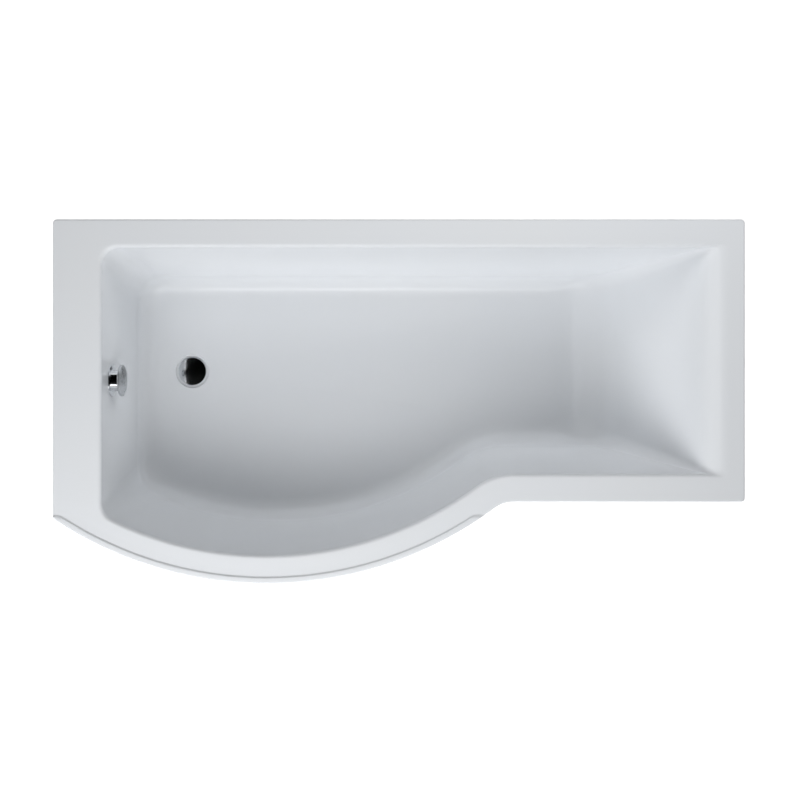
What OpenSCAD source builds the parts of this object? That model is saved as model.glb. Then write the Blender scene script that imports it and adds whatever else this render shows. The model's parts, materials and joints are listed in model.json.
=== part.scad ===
// P-shaped shower bath: acrylic shell with its laminated back, base board, rim battens,
// cradle legs with levelling feet, and a cable-operated pop-up waste with an overflow.
// Frame: +X to the sloping head end, -X to the tap end, +Y to the wall side, +Z up.
// The origin is on the floor under the centre of the rim. All sizes are millimetres.

/* [Rim] */
// Length of the bath
bath_l = 1700; // [1600:10:1800]
// Width across the bulge
wide_w = 895; // [860:5:930]
// Width of the narrow end
narrow_w = 695; // [660:5:730]
// Height of the deck above the floor
rim_h = 570; // [540:5:620]
// Distance of the bulge's widest point from the tap end
bulge_x = 525; // [490:5:560]
// Radius of the bulge's outer edge
bulge_r = 940; // [900:10:980]
// Radius of the hollow curve between the bulge and the narrow side
neck_r = 80; // [60:5:110]
// Deck width along the wall
deck_rear = 60; // [58:1:75]
// Deck width along the front and the bulge
deck_front = 60; // [58:1:72]
// Deck width at the tap end
deck_tap = 109; // [100:1:120]
// Deck width at the head end, up to where it rolls into the backrest
deck_head = 40; // [36:1:55]
// Depth of the turned-down skirt
skirt_drop = 36; // [30:1:45]
// Corner radius of the outer edge
edge_corner_r = 8; // [5:1:12]
// Rounding of the outer edge
edge_r = 3; // [2:0.5:4]
// Width of the raised lip along the bulge
lip_w = 18; // [14:1:24]
// Height of the raised lip
lip_h = 4; // [2:0.5:6]
// Width of the lip's inner slope
lip_slope = 3; // [2:0.5:4]
// Angle by which the lip stops short of the hollow curve
lip_stop = 3; // [2:0.5:5]
// Length over which the lip fades out at its head end, as an angle
lip_fade = 0.8; // [0.5:0.1:1.2]
// Length over which the lip fades out past the tap corner
lip_tail = 12; // [8:1:20]

/* [Well] */
// Depth of the well at the edge of its floor
well_depth = 400; // [380:5:415]
// Radius of the roll from the deck into the side walls
roll_r = 10; // [10:1:16]
// Lean of the side walls
wall_lean = 8.5; // [7:0.5:10]
// Radius between the side walls and the floor
foot_r = 60; // [50:1:70]
// Lean of the tap end wall
tap_lean = 5; // [4:0.5:6]
// Radius between the tap end wall and the floor
tap_foot_r = 45; // [38:1:50]
// Radius of the roll at the top of the backrest
back_roll_r = 80; // [70:1:90]
// Lean of the backrest
back_lean = 30; // [27:0.5:32]
// Radius between the backrest and the floor
back_foot_r = 180; // [160:5:200]
// Corner radius at the rim between the wall side and the tap end
rear_corner_r = 40; // [30:1:50]
// Corner radius at the rim between the bulge and the tap end
bulge_corner_r = 48; // [38:1:58]
// Corner radius at the rim beside the backrest
head_corner_r = 14; // [10:1:20]
// How much the rear tap corner grows down to the floor
rear_corner_grow = 35; // [25:1:40]
// How much the bulge corner grows down to the floor
bulge_corner_grow = 42; // [30:1:50]
// How much the corners beside the backrest grow down to the floor
head_corner_grow = 31; // [20:1:40]
// Fall of the floor to the waste
floor_fall = 8; // [5:1:12]
// Thickness of the acrylic
acrylic_t = 5; // [4:0.5:5]
// Thickness of the laminated glassfibre
glassfibre_t = 3; // [2:0.5:4]

/* [Base] */
// Thickness of the base board
board_t = 18; // [15:1:22]
// Distance of the base board from the edge of the floor
board_margin = 20; // [18:1:40]
// Width of the glassfibre's ramp down to the base board
bed_w = 15; // [10:1:17]
// Distance of the board's end from the waste
board_from_waste = 150; // [120:5:200]
// Height of the rim battens
batten_h = 30; // [25:1:34]
// Width of the batten at the tap end
tap_batten_w = 45; // [35:1:60]
// Gap between the battens and the skirt
batten_gap = 2; // [1:0.5:3]
// Gap between the battens and the wall of the well
batten_well_gap = 8; // [6:1:9]
// Gap between the head batten and the wall of the well
batten_head_gap = 1; // [1:0.5:3]
// Gap between the tap end's batten and the start of the bulge batten
bulge_batten_start = 6.5; // [4:0.5:15]
// Angle by which the bulge batten ends short of the hollow curve
bulge_batten_end = 3.5; // [3:0.5:8]
// Gap between the tap end's batten and the skirt along the bulge
tap_batten_stop = 10; // [6:1:20]
// Distance of the narrow side's batten from the hollow curve
front_batten_start = 20; // [15:1:40]

/* [Cradle] */
// Distance of each leg bar from its end of the bath
bar_x = 550; // [510:10:590]
// Width of a leg bar
bar_w = 40; // [36:1:50]
// Height of a leg bar
bar_h = 25; // [20:1:30]
// Sheet thickness of the leg bars
bar_t = 2; // [1.5:0.5:3]
// Overhang of a leg bar past its foot
bar_end = 25; // [20:1:35]
// Distance of the feet outside the floor at the wall side and at the narrow side
foot_out = 100; // [80:5:110]
// Distance of the foot outside the floor at the bulge
bulge_foot_out = 45; // [40:1:60]
// Place of the centre foot across the bath
centre_foot_y = 100; // [60:5:140]
// Side of the centre leg plate
plate_w = 80; // [60:1:100]
// Thickness of the centre leg plate
plate_t = 3; // [2:0.5:4]
// Radius of the threaded studs
stud_r = 6; // [5:0.5:7]
// Length of stud above the web of its leg bar
stud_over = 16; // [14:1:17]
// Height of the nuts
nut_h = 10; // [8:0.5:11]
// Width of the nuts across their flats
nut_af = 18; // [17:0.5:20]
// Radius of a foot pad
pad_r = 25; // [20:1:32]
// Height of a foot pad's disc
pad_h = 8; // [6:0.5:10]
// Radius of a foot pad's neck
pad_neck_r = 12; // [10:0.5:14]
// Height of a foot pad with its neck
pad_neck_h = 22; // [18:1:28]
// Thickness of the pad's floor under the stud
pad_sole = 10; // [9:0.5:12]
// Radius of the wood screws' shanks
wood_screw_r = 2.5; // [2:0.25:3]
// Length of the wood screws below their heads
wood_screw_l = 16; // [12:1:17]
// Radius of the wood screws' heads
wood_head_r = 5; // [4:0.5:6]
// Height of the wood screws' heads
wood_head_h = 3; // [2:0.5:4]
// Distance between a leg bar's two screws
bar_screw_pitch = 180; // [120:10:200]
// Distance of the plate's screws from its edges
plate_screw_in = 10; // [8:1:14]

/* [Wall brackets] */
// Width of a wall bracket
bracket_w = 40; // [30:1:60]
// Sheet thickness of a wall bracket
bracket_t = 2; // [1.5:0.5:3]
// Length of a wall bracket's leg under its batten
bracket_leg = 38; // [36:1:40]
// Drop of a wall bracket's wall leg below the batten
bracket_drop = 37; // [30:1:50]
// Height of the wall hole above the end of the wall leg
bracket_hole_up = 17; // [12:1:22]
// Radius of the wall hole
bracket_hole_r = 3; // [2.5:0.25:4]
// Distance of each rear bracket from its end of the bath
bracket_x = 350; // [250:10:450]
// Place of the end brackets across the bath
bracket_y = 150; // [100:10:200]
// Radius of the bracket screws' shanks
bracket_screw_r = 2; // [1.5:0.25:2.5]
// Length of the bracket screws
bracket_screw_l = 20; // [14:1:24]
// Distance of the first bracket screw from the wall face
bracket_screw_in = 16; // [14:1:18]
// Distance between a bracket's two screws
bracket_screw_pitch = 15; // [12:1:16]

/* [Waste] */
// Distance of the waste from the tap end
waste_in = 290; // [280:5:300]
// Distance of the waste from the wall side
waste_across = 376.5; // [360:0.5:390]
// Radius of the flat place round the waste
drain_r = 60; // [54:1:65]
// Radius of the recess round the waste
recess_r = 44; // [42:1:47]
// Depth of the recess
recess_d = 4; // [3:0.5:5]
// Radius of the boss under the recess
boss_r = 49; // [48:1:52]
// Radius of the hole for the waste
waste_hole_r = 26; // [25.6:0.2:27]
// Radius of the waste flange
flange_r = 35; // [33:0.5:36]
// Thickness of the waste flange
flange_t = 2.5; // [2:0.5:3]
// Thickness of the upper waste seal
seal_upper_t = 1.5; // [1:0.5:2]
// Thickness of the lower waste seal
seal_lower_t = 3; // [2:0.5:4]
// Outer radius of the flange's threaded tail
tail_r = 25; // [24:0.25:25.25]
// Radius of the flange's throat
throat_r = 22.5; // [21:0.25:22.75]
// Length of thread that the waste body holds
thread_l = 12; // [10:0.5:14]
// Radius of the waste body
body_r = 30; // [29:0.5:32]
// Radius of the waste body's chamber
chamber_r = 23.5; // [22:0.25:24]
// Height of the chamber under the thread
chamber_h = 40; // [38:0.5:42]
// Radius of the outlet's threaded tail, for a trap
outlet_r = 23.9; // [22:0.1:25]
// Length of the outlet's tail
outlet_l = 25; // [20:1:30]
// Bore of the outlet
outlet_bore_r = 19; // [17:0.5:20]
// Radius of the plug's cap
cap_r = 37; // [34:0.5:38]
// Height of the plug's cap
cap_h = 5.5; // [4:0.5:7]
// Thickness of the cap's edge
cap_edge = 1.5; // [1:0.5:2.5]
// Travel of the plug
plug_lift = 10; // [8:0.5:10]
// Radius of the plug's stem
stem_r = 3.5; // [3:0.25:4]
// Radius of the lift pin
lift_pin_r = 3; // [2.5:0.25:3.25]
// Radius of the collar on the lift pin
collar_r = 6.5; // [6:0.25:7]

/* [Overflow] */
// Depth of the overflow below the deck
overflow_depth = 100; // [90:1:110]
// Distance of the overflow from the wall side
overflow_across = 397.5; // [380:0.5:410]
// Radius of the hole for the overflow
overflow_hole_r = 26; // [25.8:0.2:27]
// Radius of the overflow's rosette
rosette_r = 40.5; // [38:0.5:43]
// Thickness of the overflow's rosette
rosette_t = 3; // [2:0.5:4]
// Outer radius of the sleeve behind the knob
sleeve_r = 27; // [26:0.5:30]
// Length of the sleeve
sleeve_l = 20; // [16:0.5:24]
// Radius of the knob
knob_r = 39.5; // [37:0.5:42]
// Thickness of the knob
knob_t = 7; // [5:0.5:9]
// Radius of the knob's spindle
spindle_r = 4; // [3:0.25:4.5]
// Turn of the knob from shut to open
knob_turn = 90; // [80:5:100]
// Swing of the lever that lifts the plug
lever_swing = 36; // [34:0.5:38]
// Outer radius of the ribbed overflow pipe
pipe_r = 13; // [12:0.5:13.5]
// Depth of the ribs
rib_d = 2; // [1.5:0.25:2.25]
// Radius of the pipe's bore
pipe_bore_r = 9.5; // [8:0.25:10]
// Distance from rib to rib
rib_pitch = 5; // [4.5:0.5:7]
// Radius of the pull cable's sheath
cable_r = 2.5; // [2:0.25:3]

/* [Hidden] */
$fn = 96;

// Clearances
fit = 0.05;        // between a screw, stud or pin and what grips it
running = 0.3;     // between pieces that move past each other
bearing = 0.1;     // round a spindle in its bearing
end_gap = 0.2;     // between a pipe or cable and the end of what it comes out of
cut = 1;           // how far a cutting shape runs past the face that it leaves

// Rim: edges and the bulge's centre
tap_x = -bath_l / 2;
head_x = bath_l / 2;
rear_y = wide_w / 2;
front_y = rear_y - narrow_w;
bulge_cx = tap_x + bulge_x;
bulge_cy = rear_y - wide_w + bulge_r;
neck_cy = front_y - neck_r;
neck_cx = bulge_cx + sqrt(pow(bulge_r + neck_r, 2) - pow(bulge_cy - neck_cy, 2));
neck_a = asin((neck_cx - bulge_cx) / (bulge_r + neck_r));
lip_a = neck_a - lip_stop;

// Runs of the outline between its tangent points, in segments
corner_n = 5;
rear_n = 6;
tap_n = 3;
bulge_n = 9;
neck_n = 7;
front_n = 3;
head_n = 2;
roll_n = 6;
foot_n = 7;

// Heights
floor_z = rim_h - well_depth;
drain_z = floor_z - floor_fall;
bed_z = drain_z - acrylic_t - glassfibre_t;
recess_z = drain_z - recess_d;
boss_z = recess_z - acrylic_t;
board_z = bed_z - board_t;
bar_z = board_z - bar_h;
batten_z = rim_h - acrylic_t - glassfibre_t - batten_h;
back_roll_drop = back_roll_r * (1 - sin(back_lean));
back_foot_drop = back_foot_r * (1 - sin(back_lean));
levels = concat([for (k = [0:roll_n]) back_roll_drop * pow(k / roll_n, 2)],
    [for (k = [foot_n:-1:0]) well_depth - back_foot_drop * pow(k / foot_n, 2)]);

// Waste
waste_x = tap_x + waste_in;
waste_y = rear_y - waste_across;
flange_z = recess_z + seal_upper_t;
throat_z = flange_z + flange_t;
body_flange_t = 4;
body_flange_r = 36;
body_z = boss_z - seal_lower_t;
chamber_z = body_z - thread_l;
chamber_floor_z = chamber_z - chamber_h;
body_floor_t = 5;
body_base_z = chamber_floor_z - body_floor_t;
outlet_z = body_base_z - outlet_l;
port_z = chamber_z - 11;
port_r = pipe_r + 1.5;
port_end = 40;
spider_h = 10;
spider_w = 3;
guide_z = flange_z - 14;
guide_h = 5;
plug_hub_h = 6.5;
plug_hub_r = 2.5 * stem_r;
plug_hub_top = 1;          // wall of the hub above the stem
dome_n = 8;

// Lever in the waste body
lever_in = 16;             // from the waste's axis to the pivot
lever_arm = 15;            // from the pivot to the cable
lever_t = 3;
lever_side = 3.5;          // from the waste's axis to the lever's near face
lever_eye_r = 3.5;
lever_half_w = 1.5;
lever_pad_r = 4;           // round pad under the lift pin's collar
lever_tip_r = 1.6;         // round end that the cable moves
lever_pin_r = 1.5;
lever_z = chamber_z - 20;
lever_rest_a = lever_swing / 2;
collar_z = lever_z - lever_in * sin(lever_rest_a) + lever_pad_r + running;
collar_t = 3;
lift_pin_z = chamber_floor_z - spider_h - 4;
stem_z = collar_z + collar_t + 9.7;
pin_stem_gap = 0.2;

// Overflow: its frame has Z along the wall's normal into the bath, and X down the wall
wall_t = acrylic_t + glassfibre_t;
overflow_y = rear_y - overflow_across;
overflow_z = rim_h - overflow_depth;
wall_x = tap_x + deck_tap + run_at(overflow_depth, roll_r, tap_lean, tap_foot_r);
rosette_gap = 0.1;
overflow_seal_t = 3;
chest_flange_t = 4;
chest_flange_r = 38;
chest_r = 30;
chest_wall = 4;
chest_d = 33;              // depth of the overflow's chest behind its flange
chest_back_t = 3.5;
chest_z = -wall_t - overflow_seal_t - chest_flange_t;
chest_back_z = chest_z + chest_flange_t - chest_d;
chest_end_z = chest_back_z - chest_back_t;
outlet_axis_z = chest_z - 15;
outlet_end = 70;
screw_off = 15;
screw_r = 2;
web_t = 3;
drum_core_r = lever_arm * lever_swing / knob_turn;
drum_r = 14;
drum_l = 8;
drum_flange_t = 1.5;
case_r = 20;
case_wall = 2.5;
case_l = 12;
case_cover_t = 2.5;
case_gap = 2;
drum_z = chest_end_z - case_gap - drum_l;
cable_z = drum_z + drum_l / 2;
gland_r = 4;
gland_end = 24;

// Pipe and cable: straight down along the wall, round a bend, and straight into the waste body
pipe_start = wall_point([outlet_end + end_gap, 0, outlet_axis_z]);
cable_start = wall_point([gland_end + end_gap, -drum_core_r, cable_z]);
pipe_heading = heading_to_waste(pipe_start);
cable_heading = heading_to_waste(cable_start);
cable_port_z = lever_z - lever_arm * cos(lever_rest_a);
cable_port_end = 36;
pipe_stop = port_point(pipe_heading, port_end, port_z);
cable_stop = port_point(cable_heading, cable_port_end, cable_port_z);
cable_straight = 28;
cable_step = 9;
cable_sides = 8;
pipe_sides = 8;
bore_step = 14;
pipe_nut_r = 18;
pipe_nut_grip = 9;
pipe_nut_lip = 5;

// Cradle
tap_bar_x = tap_x + bar_x;
head_bar_x = head_x - bar_x;
floor_rear_y = rear_y - deck_rear - side_run();
floor_front_y = front_y + deck_front + side_run();
floor_bulge_y = bulge_cy - bulge_r + deck_front + side_run();
rear_foot_y = floor_rear_y + foot_out;
feet = [[tap_bar_x, rear_foot_y], [tap_bar_x, floor_bulge_y - bulge_foot_out],
    [head_bar_x, rear_foot_y], [head_bar_x, floor_front_y - foot_out], [0, centre_foot_y]];
web_z = board_z - bar_t;
plate_z = board_z - plate_t;
stud_top_z = board_z + stud_over;
centre_stud_top_z = board_z + 6;
stud_hole_r = stud_r + 0.5;
board_stud_hole_r = stud_r + 2;
bar_screw_y = (floor_rear_y + floor_front_y) / 2;

// Wall brackets
bracket_wall_gap = 0.3;
bracket_z = batten_z - bracket_t;
bracket_head_r = 4;
bracket_head_h = 2.5;
rear_batten_w = deck_rear - acrylic_t - batten_gap - batten_well_gap;
front_batten_w = deck_front - acrylic_t - batten_gap - batten_well_gap;
head_batten_w = deck_head - acrylic_t - batten_gap - batten_head_gap;
batten_edge = acrylic_t + batten_gap;

// ---- Geometry functions ----

// How far a wall has run inward at a depth d below the deck: a roll, a leaning straight and a foot
function run_at(d, roll, lean, foot) =
    let (top = roll * (1 - sin(lean)),
        low = well_depth - foot * (1 - sin(lean)),
        start = roll * cos(lean),
        end = start + (low - top) * tan(lean) + foot * cos(lean))
    d <= top ? sqrt(max(0, roll * roll - pow(roll - d, 2)))
    : d < low ? start + (d - top) * tan(lean)
    : end - sqrt(max(0, foot * foot - pow(foot - (well_depth - d), 2)));

function side_run() = run_at(well_depth, roll_r, wall_lean, foot_r);

function arc(c, r, a0, a1, n, first) =
    [for (k = [first:n]) c + r * [cos(a0 + (a1 - a0) * k / n), sin(a0 + (a1 - a0) * k / n)]];

function between(p, q, n) = [for (k = [1:n - 1]) p + (q - p) * k / n];

// The P-shaped outline, anticlockwise, set in from the rim's edges by tap, head, rear and front.
// r_rear, r_bulge and r_head are its corner radii.
function outline(tap, head, rear, front, r_rear, r_bulge, r_head) =
    let (xl = tap_x + tap,
        xr = head_x - head,
        yr = rear_y - rear,
        yf = front_y + front,
        bulge = [bulge_cx, bulge_cy],
        rg = bulge_r - front,
        rn = neck_r + front,
        corner_x = xl + r_bulge,
        corner_a = asin((corner_x - bulge_cx) / (rg - r_bulge)),
        corner_y = bulge_cy - (rg - r_bulge) * cos(corner_a))
    concat(
        arc([xr - r_head, yr - r_head], r_head, 0, 90, corner_n, 0),
        between([xr - r_head, yr], [xl + r_rear, yr], rear_n),
        arc([xl + r_rear, yr - r_rear], r_rear, 90, 180, corner_n, 0),
        between([xl, yr - r_rear], [xl, corner_y + lip_tail], tap_n),
        [[xl, corner_y + lip_tail]],
        arc([corner_x, corner_y], r_bulge, 180, 270 + corner_a, corner_n, 0),
        arc(bulge, rg, 270 + corner_a, 270, bulge_n, 1),
        arc(bulge, rg, 270, 270 + lip_a, bulge_n, 1),
        arc(bulge, rg, 270 + lip_a, 270 + lip_a + lip_fade, 1, 1),
        arc(bulge, rg, 270 + lip_a + lip_fade, 270 + neck_a, 1, 1),
        arc([neck_cx, neck_cy], rn, 90 + neck_a, 90, neck_n, 1),
        between([neck_cx, yf], [xr - r_head, yf], front_n),
        arc([xr - r_head, yf + r_head], r_head, 270, 360, corner_n, 0),
        between([xr, yf + r_head], [xr, yr - r_head], head_n));

// 1 at each point of the outline where the lip stands up, and 0 elsewhere
lip_before = 2 * (corner_n + 1) + rear_n - 1 + tap_n;
lip_count = corner_n + 1 + 2 * bulge_n;
ring_n = len(outline(0, 0, 0, 0, edge_corner_r, edge_corner_r, edge_corner_r));
lip_mask = [for (k = [0:ring_n - 1]) k >= lip_before && k < lip_before + lip_count ? 1 : 0];

function raise(points, z) = [for (p = points) [p.x, p.y, z]];
function raise_lip(points, z) = [for (k = [0:len(points) - 1]) [points[k].x, points[k].y, z + lip_h * lip_mask[k]]];

// Outline set in by the same amount on every side
function inset_outline(inset) =
    let (r = max(1, edge_corner_r - inset)) outline(inset, inset, inset, inset, r, r, r);

// Outline of the well at a depth d below the deck, for a skin that lies t behind the show face
function well_outline(d, t) =
    let (side = run_at(d, roll_r - t, wall_lean, foot_r + t),
        tap = run_at(d, roll_r - t, tap_lean, tap_foot_r + t),
        back = run_at(d, back_roll_r - t, back_lean, back_foot_r + t),
        f = d / well_depth)
    outline(deck_tap + tap, deck_head + back, deck_rear + side, deck_front + side,
        rear_corner_r + rear_corner_grow * f + t,
        bulge_corner_r + bulge_corner_grow * f + t,
        head_corner_r + head_corner_grow * f + t);

function well_ring(d, t) = raise(well_outline(d, t), rim_h - t - d);

// The floor's outline drawn in to a circle round the waste
function drain_ring(z) =
    let (c = [waste_x, waste_y])
    raise([for (p = well_outline(well_depth, 0)) c + drain_r * (p - c) / norm(p - c)], z);

// Floor outline of the laminate set in by a width, for the bed and the board
function floor_outline(inset) =
    let (side = side_run() + inset,
        tap = run_at(well_depth, roll_r, tap_lean, tap_foot_r) + inset,
        back = run_at(well_depth, back_roll_r, back_lean, back_foot_r) + inset)
    outline(deck_tap + tap, deck_head + back, deck_rear + side, deck_front + side,
        rear_corner_r + rear_corner_grow, bulge_corner_r + bulge_corner_grow,
        head_corner_r + head_corner_grow);

function joined(rings) = [for (ring = rings) for (p = ring) p];

// Triangles between neighbouring rings of n points each
function band(rings, n, a, b, flip) =
    [for (k = [0:n - 1])
        let (i = a * n + k, j = a * n + (k + 1) % n, u = b * n + k, v = b * n + (k + 1) % n)
        each flip ? [[i, v, j], [i, u, v]] : [[i, j, v], [i, v, u]]];

function bands(rings, n, flip) = [for (a = [0:len(rings) - 2]) each band(rings, n, a, a + 1, flip)];
function face_up(first, n) = [for (k = [n - 1:-1:0]) first + k];
function face_down(first, n) = [for (k = [0:n - 1]) first + k];

// A solid whose skin runs through the rings and is closed by its first and last ones
module ringed_solid(rings, flip) {
    n = len(rings[0]);
    last = (len(rings) - 1) * n;
    caps = flip ? [face_down(0, n), face_up(last, n)] : [face_up(0, n), face_down(last, n)];
    polyhedron(points = joined(rings), faces = concat(bands(rings, n, flip), caps), convexity = 10);
}

// A solid whose skin runs through the rings and back to the first one
module ringed_loop(rings) {
    n = len(rings[0]);
    closing = band(rings, n, len(rings) - 1, 0, true);
    polyhedron(points = joined(rings), faces = concat(bands(rings, n, true), closing), convexity = 10);
}

// A point of the overflow's frame in the bath's frame
function wall_point(p) =
    [wall_x + p.x * sin(tap_lean) + p.z * cos(tap_lean), overflow_y + p.y,
        overflow_z - p.x * cos(tap_lean) + p.z * sin(tap_lean)];

function heading_to_waste(p) = atan2(waste_y - p.y, waste_x - p.x);
function port_point(a, r, z) = [waste_x - r * cos(a), waste_y - r * sin(a), z];

// The route of a pipe or cable: a straight along the wall, a bend, and a level straight
function route_bend(p, q, tail) =
    let (h = norm([q.x - p.x, q.y - p.y]), drop = p.z - q.z)
    (h - tail - drop * tan(tap_lean)) / (cos(tap_lean) - tan(tap_lean) * (1 - sin(tap_lean)));
function route_fall(p, q, tail) =
    (p.z - q.z - route_bend(p, q, tail) * (1 - sin(tap_lean))) / cos(tap_lean);
function route_length(p, q, tail) =
    route_fall(p, q, tail) + route_bend(p, q, tail) * (90 - tap_lean) * PI / 180 + tail;

// Ring of a radius r round the route, at a length s from its start
function route_ring(p, q, tail, s, r, sides) =
    let (fall = route_fall(p, q, tail),
        bend = route_bend(p, q, tail),
        turned = min(90 - tap_lean, max(0, s - fall) / bend * 180 / PI),
        a = 90 - tap_lean - turned,
        down = min(s, fall),
        level = max(0, s - fall - bend * (90 - tap_lean) * PI / 180),
        h = down * sin(tap_lean) + bend * (cos(tap_lean) - sin(a)) + level,
        v = -down * cos(tap_lean) + bend * (sin(tap_lean) - cos(a)),
        u = [q.x - p.x, q.y - p.y] / norm([q.x - p.x, q.y - p.y]),
        c = [p.x + h * u.x, p.y + h * u.y, p.z + v],
        side = [-u.y, u.x, 0],
        up = [sin(a) * u.x, sin(a) * u.y, cos(a)])
    [for (k = [0:sides - 1]) let (t = 360 * (k + 0.5) / sides) c + r * (cos(t) * side + sin(t) * up)];

// ---- Small shared shapes ----

module at_wall() {
    translate([wall_x, overflow_y, overflow_z]) rotate([0, 90 - tap_lean, 0]) children();
}

module at_waste(z) {
    translate([waste_x, waste_y, z]) children();
}

// Places its children at the waste with X towards the overflow
module at_port(a, z) {
    translate([waste_x, waste_y, z]) rotate([0, 0, a + 180]) children();
}

module ring(h, r_out, r_in) {
    difference() {
        cylinder(h = h, r = r_out);
        translate([0, 0, -cut]) cylinder(h = h + 2 * cut, r = r_in);
    }
}

// Round disc with rounded edges
module rounded_disc(h, r, e) {
    rotate_extrude() polygon(concat([[0, 0]],
        arc([r - e, e], e, 270, 360, corner_n, 0),
        arc([r - e, h - e], e, 0, 90, corner_n, 0), [[0, h]]));
}

module spider(h, r_hub, r_rim) {
    for (k = [0:2]) rotate([0, 0, 120 * k + 90]) translate([r_hub, -spider_w / 2, 0])
        cube([r_rim - r_hub, spider_w, h]);
}

// ---- Bath shell ----

module bath_shell() {
    show_face = concat([drain_ring(drain_z)],
        [for (k = [len(levels) - 1:-1:0]) well_ring(levels[k], 0)],
        [raise(inset_outline(lip_w), rim_h),
            raise_lip(inset_outline(lip_w - lip_slope), rim_h),
            raise_lip(inset_outline(edge_r), rim_h),
            raise_lip(inset_outline(edge_r * (1 - sin(45))), rim_h - edge_r * (1 - cos(45))),
            raise_lip(inset_outline(0), rim_h - edge_r)]);
    skirt = [raise(inset_outline(0), rim_h - skirt_drop),
        raise(inset_outline(acrylic_t), rim_h - skirt_drop),
        raise(inset_outline(acrylic_t), rim_h - acrylic_t)];
    color("white") difference() {
        union() {
            ringed_solid(concat(show_face, skirt, acrylic_back()), false);
            at_waste(boss_z) cylinder(h = acrylic_t + recess_d / 2, r = boss_r);
        }
        at_waste(recess_z) cylinder(h = recess_d + cut, r = recess_r);
        at_waste(boss_z - cut) cylinder(h = acrylic_t + 2 * cut, r = waste_hole_r);
        at_wall() translate([0, 0, -wall_t - cut]) cylinder(h = wall_t + 2 * cut, r = overflow_hole_r);
    }
}

// The back of the acrylic, from the rim in to the waste
function acrylic_back() = concat([for (d = levels) well_ring(d, acrylic_t)], [drain_ring(drain_z - acrylic_t)]);

module glassfibre_backing() {
    top_z = rim_h - acrylic_t;
    outside = concat([drain_ring(bed_z), raise(floor_outline(bed_w), bed_z)],
        [for (k = [len(levels) - 1:-1:0]) well_ring(levels[k], wall_t)],
        [raise(inset_outline(acrylic_t), top_z - glassfibre_t), raise(inset_outline(acrylic_t), top_z)]);
    color("gainsboro") difference() {
        ringed_solid(concat(outside, acrylic_back()), true);
        at_waste(bed_z - cut) cylinder(h = drain_z - bed_z, r = boss_r + running);
        at_wall() translate([0, 0, -wall_t - cut]) cylinder(h = wall_t + 2 * cut, r = overflow_hole_r);
    }
}

// ---- Base board and rim battens ----

module baseboard() {
    board_start = waste_x + board_from_waste;
    color("burlywood") difference() {
        translate([0, 0, board_z]) linear_extrude(board_t) intersection() {
            polygon(floor_outline(board_margin));
            translate([board_start, front_y - wide_w]) square([bath_l, 3 * wide_w]);
        }
        for (p = concat(bar_screw_places(), plate_screw_places()))
            translate([p.x, p.y, board_z - cut]) cylinder(h = wood_screw_l - bar_t + cut, r = wood_screw_r + fit);
        translate([feet[4].x, feet[4].y, board_z - cut]) cylinder(h = board_t + 2 * cut, r = board_stud_hole_r);
    }
}

module batten(x0, x1, y0, y1) {
    translate([x0, y0, batten_z]) cube([x1 - x0, y1 - y0, batten_h]);
}

module batten_pilots(x, y, a) {
    translate([x, y, batten_z]) rotate([0, 0, a]) for (k = [0, 1])
        translate([-bracket_screw_in - k * bracket_screw_pitch, 0, -cut])
            cylinder(h = bracket_screw_l - bracket_t + cut, r = bracket_screw_r + fit);
}

module rim_batten_rear() {
    y1 = rear_y - batten_edge;
    color("tan") difference() {
        batten(tap_x + batten_edge + tap_batten_w + batten_gap, head_x - batten_edge - head_batten_w - batten_gap,
            y1 - rear_batten_w, y1);
        for (x = [tap_x + bracket_x, head_x - bracket_x]) batten_pilots(x, rear_y - bracket_wall_gap, 90);
    }
}

module rim_batten_tap_end() {
    x0 = tap_x + batten_edge;
    color("tan") difference() {
        batten(x0, x0 + tap_batten_w, tap_batten_front(), rear_y - batten_edge);
        batten_pilots(tap_x + bracket_wall_gap, bracket_y, 180);
    }
}

// Where the tap end's batten stops, short of the bulge's skirt
function tap_batten_front() =
    let (r = bulge_r - batten_edge - tap_batten_stop, dx = bulge_cx - tap_x - batten_edge) bulge_cy - sqrt(r * r - dx * dx);

module rim_batten_bulge() {
    r1 = bulge_r - batten_edge;
    start_a = asin((tap_x + batten_edge + tap_batten_w + bulge_batten_start - bulge_cx) / r1);
    color("tan") translate([bulge_cx, bulge_cy, batten_z]) rotate([0, 0, 270 + start_a])
        rotate_extrude(angle = neck_a - bulge_batten_end - start_a)
            translate([r1 - front_batten_w, 0]) square([front_batten_w, batten_h]);
}

module rim_batten_front() {
    y0 = front_y + batten_edge;
    color("tan") batten(neck_cx + front_batten_start, head_x - batten_edge - head_batten_w - batten_gap, y0, y0 + front_batten_w);
}

module rim_batten_head_end() {
    x1 = head_x - batten_edge;
    color("tan") difference() {
        batten(x1 - head_batten_w, x1, front_y + batten_edge, rear_y - batten_edge);
        batten_pilots(head_x - bracket_wall_gap, bracket_y, 0);
    }
}

// ---- Cradle ----

function bar_screw_places() =
    [for (x = [tap_bar_x, head_bar_x]) for (s = [-1, 1]) [x, bar_screw_y + s * bar_screw_pitch / 2]];
function plate_screw_places() =
    let (d = plate_w / 2 - plate_screw_in) [for (s = [-1, 1]) for (t = [-1, 1]) feet[4] + [s * d, t * d]];

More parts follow.
